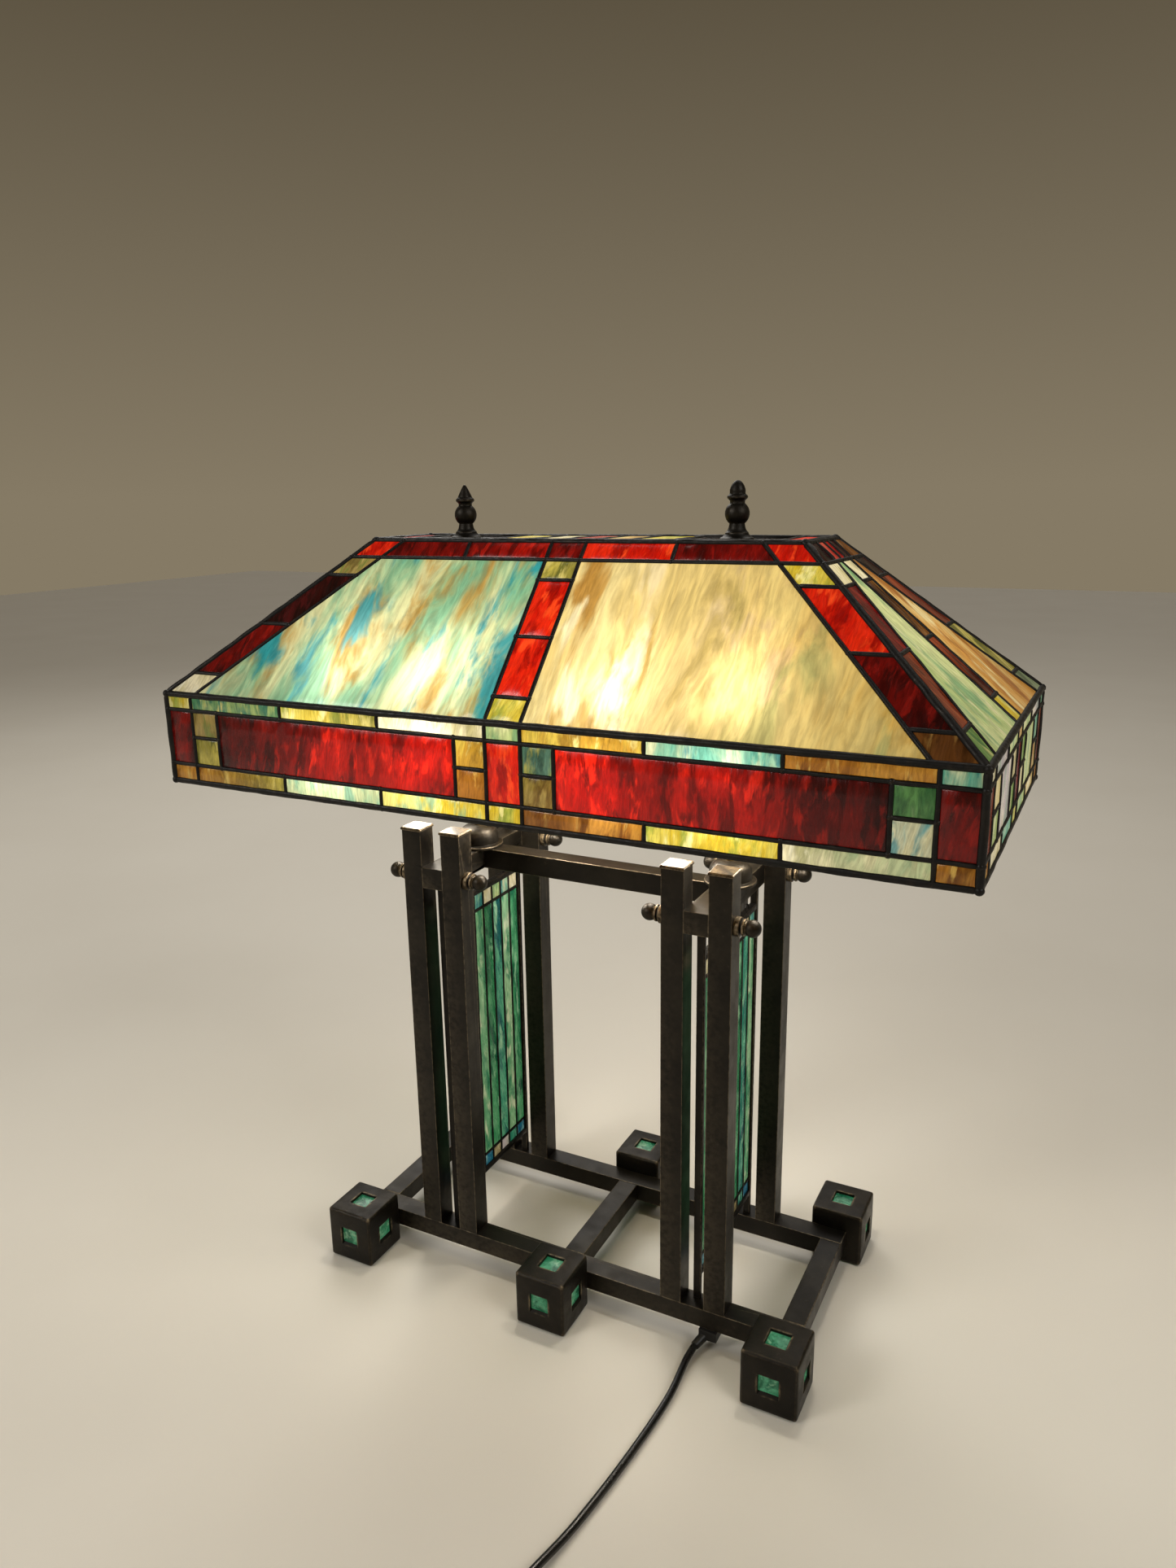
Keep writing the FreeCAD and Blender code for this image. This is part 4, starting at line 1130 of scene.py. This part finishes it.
def make_feet():
    for row, sign in (("front", -1), ("rear", 1)):
        for name in ("left", "middle", "right"):
            node = f"foot_{row}_{name}"
            low, high = at(node)
            centre = (low + high) / 2
            half_up = (high.z - low.z) / 2 / MM
            bm = bmesh.new()
            for normal in ((0, 0, 1), (-1, 0, 0), (1, 0, 0), (0, sign, 0), (0, -sign, 0)):
                normal = Vector(normal)
                hub = centre + (UP * ((half_up - 25) * MM) if normal.z else Vector())
                foot_face(bm, normal, hub, normal != Vector((0, -sign, 0)), half_up)
            bmesh.ops.remove_doubles(bm, verts=bm.verts, dist=0.45 * MM)
            show(f"cast_{node}", bm, "root", CAST_BRONZE, [node], 32)


def inward(normal, place):
    """The direction from a foot's glass tile into the foot."""
    feet = [middle(f"foot_{row}_{name}") for row in ("front", "rear")
            for name in ("left", "middle", "right")]
    foot = min(feet, key=lambda centre: (centre - place).length)
    return normal if normal.dot(foot - place) > 0 else -normal


def make_insets():
    """The square glass tiles of the feet, with eased edges and a swirled figure."""
    bm = bmesh.new()
    for corners, normal in islands("foot_glass_insets"):
        low = Vector([min(c[k] for c in corners) for k in range(3)])
        high = Vector([max(c[k] for c in corners) for k in range(3)])
        sink = inward(normal, (low + high) / 2) * (1.0 * MM)
        bar(bm, low + sink, high + sink, 0.5 * MM)
    flow = bm.verts.layers.float_vector.new("flow")
    tints = [bm.verts.layers.float_color.new(name) for name in TINTS]
    for vert in bm.verts:
        vert[flow] = vert.co / (11 * MM)
        for layer, code in zip(tints, GLASS["mint"]["tints"]):
            vert[layer] = tone(code)
    show("foot_opal_insets", bm, "root", FOOT_GLASS, ["foot_glass_insets"])


def make_panels():
    """The leaded panels of the towers: strips, small end squares, bars and wire loops."""
    strips = ["strip green", "strip light", "strip teal", "strip green", "strip light",
              "strip green", "strip teal", "strip light"]
    heads = ["pale cream", "aqua", "pale green", "pale cream", "aqua", "lavender", "pale cream",
             "aqua"]
    bases = ["strip blue", "strip teal", "lavender", "strip tan", "strip blue", "strip tan",
             "strip teal", "strip blue"]
    low, high = at("panel_cames")
    leads = bmesh.new()
    for side, sign in SIDES.items():
        node = f"panel_glass_{side}"
        tiles = tiles_of(node, Vector((0, 0, middle(node).z)))
        bottom, strip_row, top = by_row(tiles, (0.1, 0.9))
        ordered = bottom + strip_row + top
        recipes = spell(bases + strips + heads, ordered)
        glass_piece(f"tower_opal_glass_{side}", ordered, recipes, "root", "panel_glass",
                    TOWER_GLASS, [node])
        leading(leads, tiles, 1.3 * MM, 1.6 * MM, 2.3 * MM, 1.2)
        x = middle(f"yoke_{side}").x
        half = high.y
        for z0 in (low.z, middle(node).z * 2 - low.z):
            z1 = z0 + (5.5 * MM if z0 == low.z else -5.5 * MM)
            z_low, z_high = sorted((z0, z1))
            bar(leads, (x - 3.5 * MM, -half, z_low), (x + 3.5 * MM, half, z_high), 0.9 * MM)
        for y in (-46 * MM, 46 * MM):
            path = []
            for i in range(13):
                angle = math.pi * i / 12
                path.append(Vector((x, y + 4.1 * MM * math.cos(angle),
                                    high.z - 4.6 * MM + 4.1 * MM * math.sin(angle))))
            path = [path[0] - UP * 4 * MM] + path + [path[-1] - UP * 4 * MM]
            rings = []
            for before, here, after in zip(path[:1] + path, path, path[1:] + path[-1:]):
                along = (after - before).normalized()
                across = Vector((1, 0, 0))
                rings.append(ring(leads, here, across, along.cross(across), 0.8 * MM, 0.8 * MM, 10))
            skin(leads, rings)
    show("tower_leading", leads, "root", SOLDER, ["panel_cames"], 50)


make_stand()
make_feet()
make_insets()
make_panels()


# ---- floor and light ----------------------------------------------------------------------------

def make_floor():
    bm = bmesh.new()
    bmesh.ops.create_grid(bm, x_segments=2, y_segments=2, size=8)
    mesh = bpy.data.meshes.new("floor")
    bm.to_mesh(mesh)
    bm.free()
    s = Shader("pale_floor")
    s.feed("Base Color", s.mix(s.noise(s.place(), 3, 3), tone("d2ccc0"), tone("dad5ca")))
    s.feed("Roughness", 0.62)
    mesh.materials.append(s.material)
    floor = bpy.data.objects.new("floor", mesh)
    bpy.context.collection.objects.link(floor)


def area_light(name, place, target, size, power, colour):
    data = bpy.data.lights.new(name, "AREA")
    data.shape = "DISK"
    data.size = size
    data.energy = power
    data.color = colour
    light = bpy.data.objects.new(name, data)
    light.location = place
    light.rotation_euler = (Vector(target) - Vector(place)).to_track_quat("-Z", "Y").to_euler()
    bpy.context.collection.objects.link(light)


def make_light():
    world = bpy.data.worlds.new("studio")
    world.use_nodes = True
    nodes, links = world.node_tree.nodes, world.node_tree.links
    split = nodes.new("ShaderNodeSeparateXYZ")
    ramp = nodes.new("ShaderNodeValToRGB")
    ramp.color_ramp.elements[0].color = (0.235, 0.195, 0.130, 1)
    ramp.color_ramp.elements[1].color = (0.080, 0.063, 0.038, 1)
    ramp.color_ramp.elements[1].position = 0.42
    links.new(nodes.new("ShaderNodeTexCoord").outputs["Generated"], split.inputs["Vector"])
    links.new(split.outputs["Z"], ramp.inputs["Fac"])
    links.new(ramp.outputs["Color"], nodes["Background"].inputs["Color"])
    bpy.context.scene.world = world
    bpy.context.scene.view_settings.view_transform = "Standard"
    area_light("key", (-1.8, -2.5, 2.1), (0, -0.2, 0), 1.2, 42, (1.0, 0.98, 0.94))
    area_light("fill", (2.5, -0.8, 2.2), (0, -0.2, 0), 1.6, 34, (1.0, 0.98, 0.94))
    area_light("back", (-1.7, 1.9, 2.4), (0, 0, 0), 1.8, 26, (1.0, 0.98, 0.94))
    data = bpy.data.lights.new("ceiling", "SUN")
    data.energy = 0.75
    data.angle = math.radians(50)
    data.color = (1.0, 0.97, 0.92)
    sun = bpy.data.objects.new("ceiling", data)
    sun.rotation_euler = Vector((0.2, -0.9, -1.3)).to_track_quat("-Z", "Y").to_euler()
    bpy.context.collection.objects.link(sun)


make_floor()
make_light()
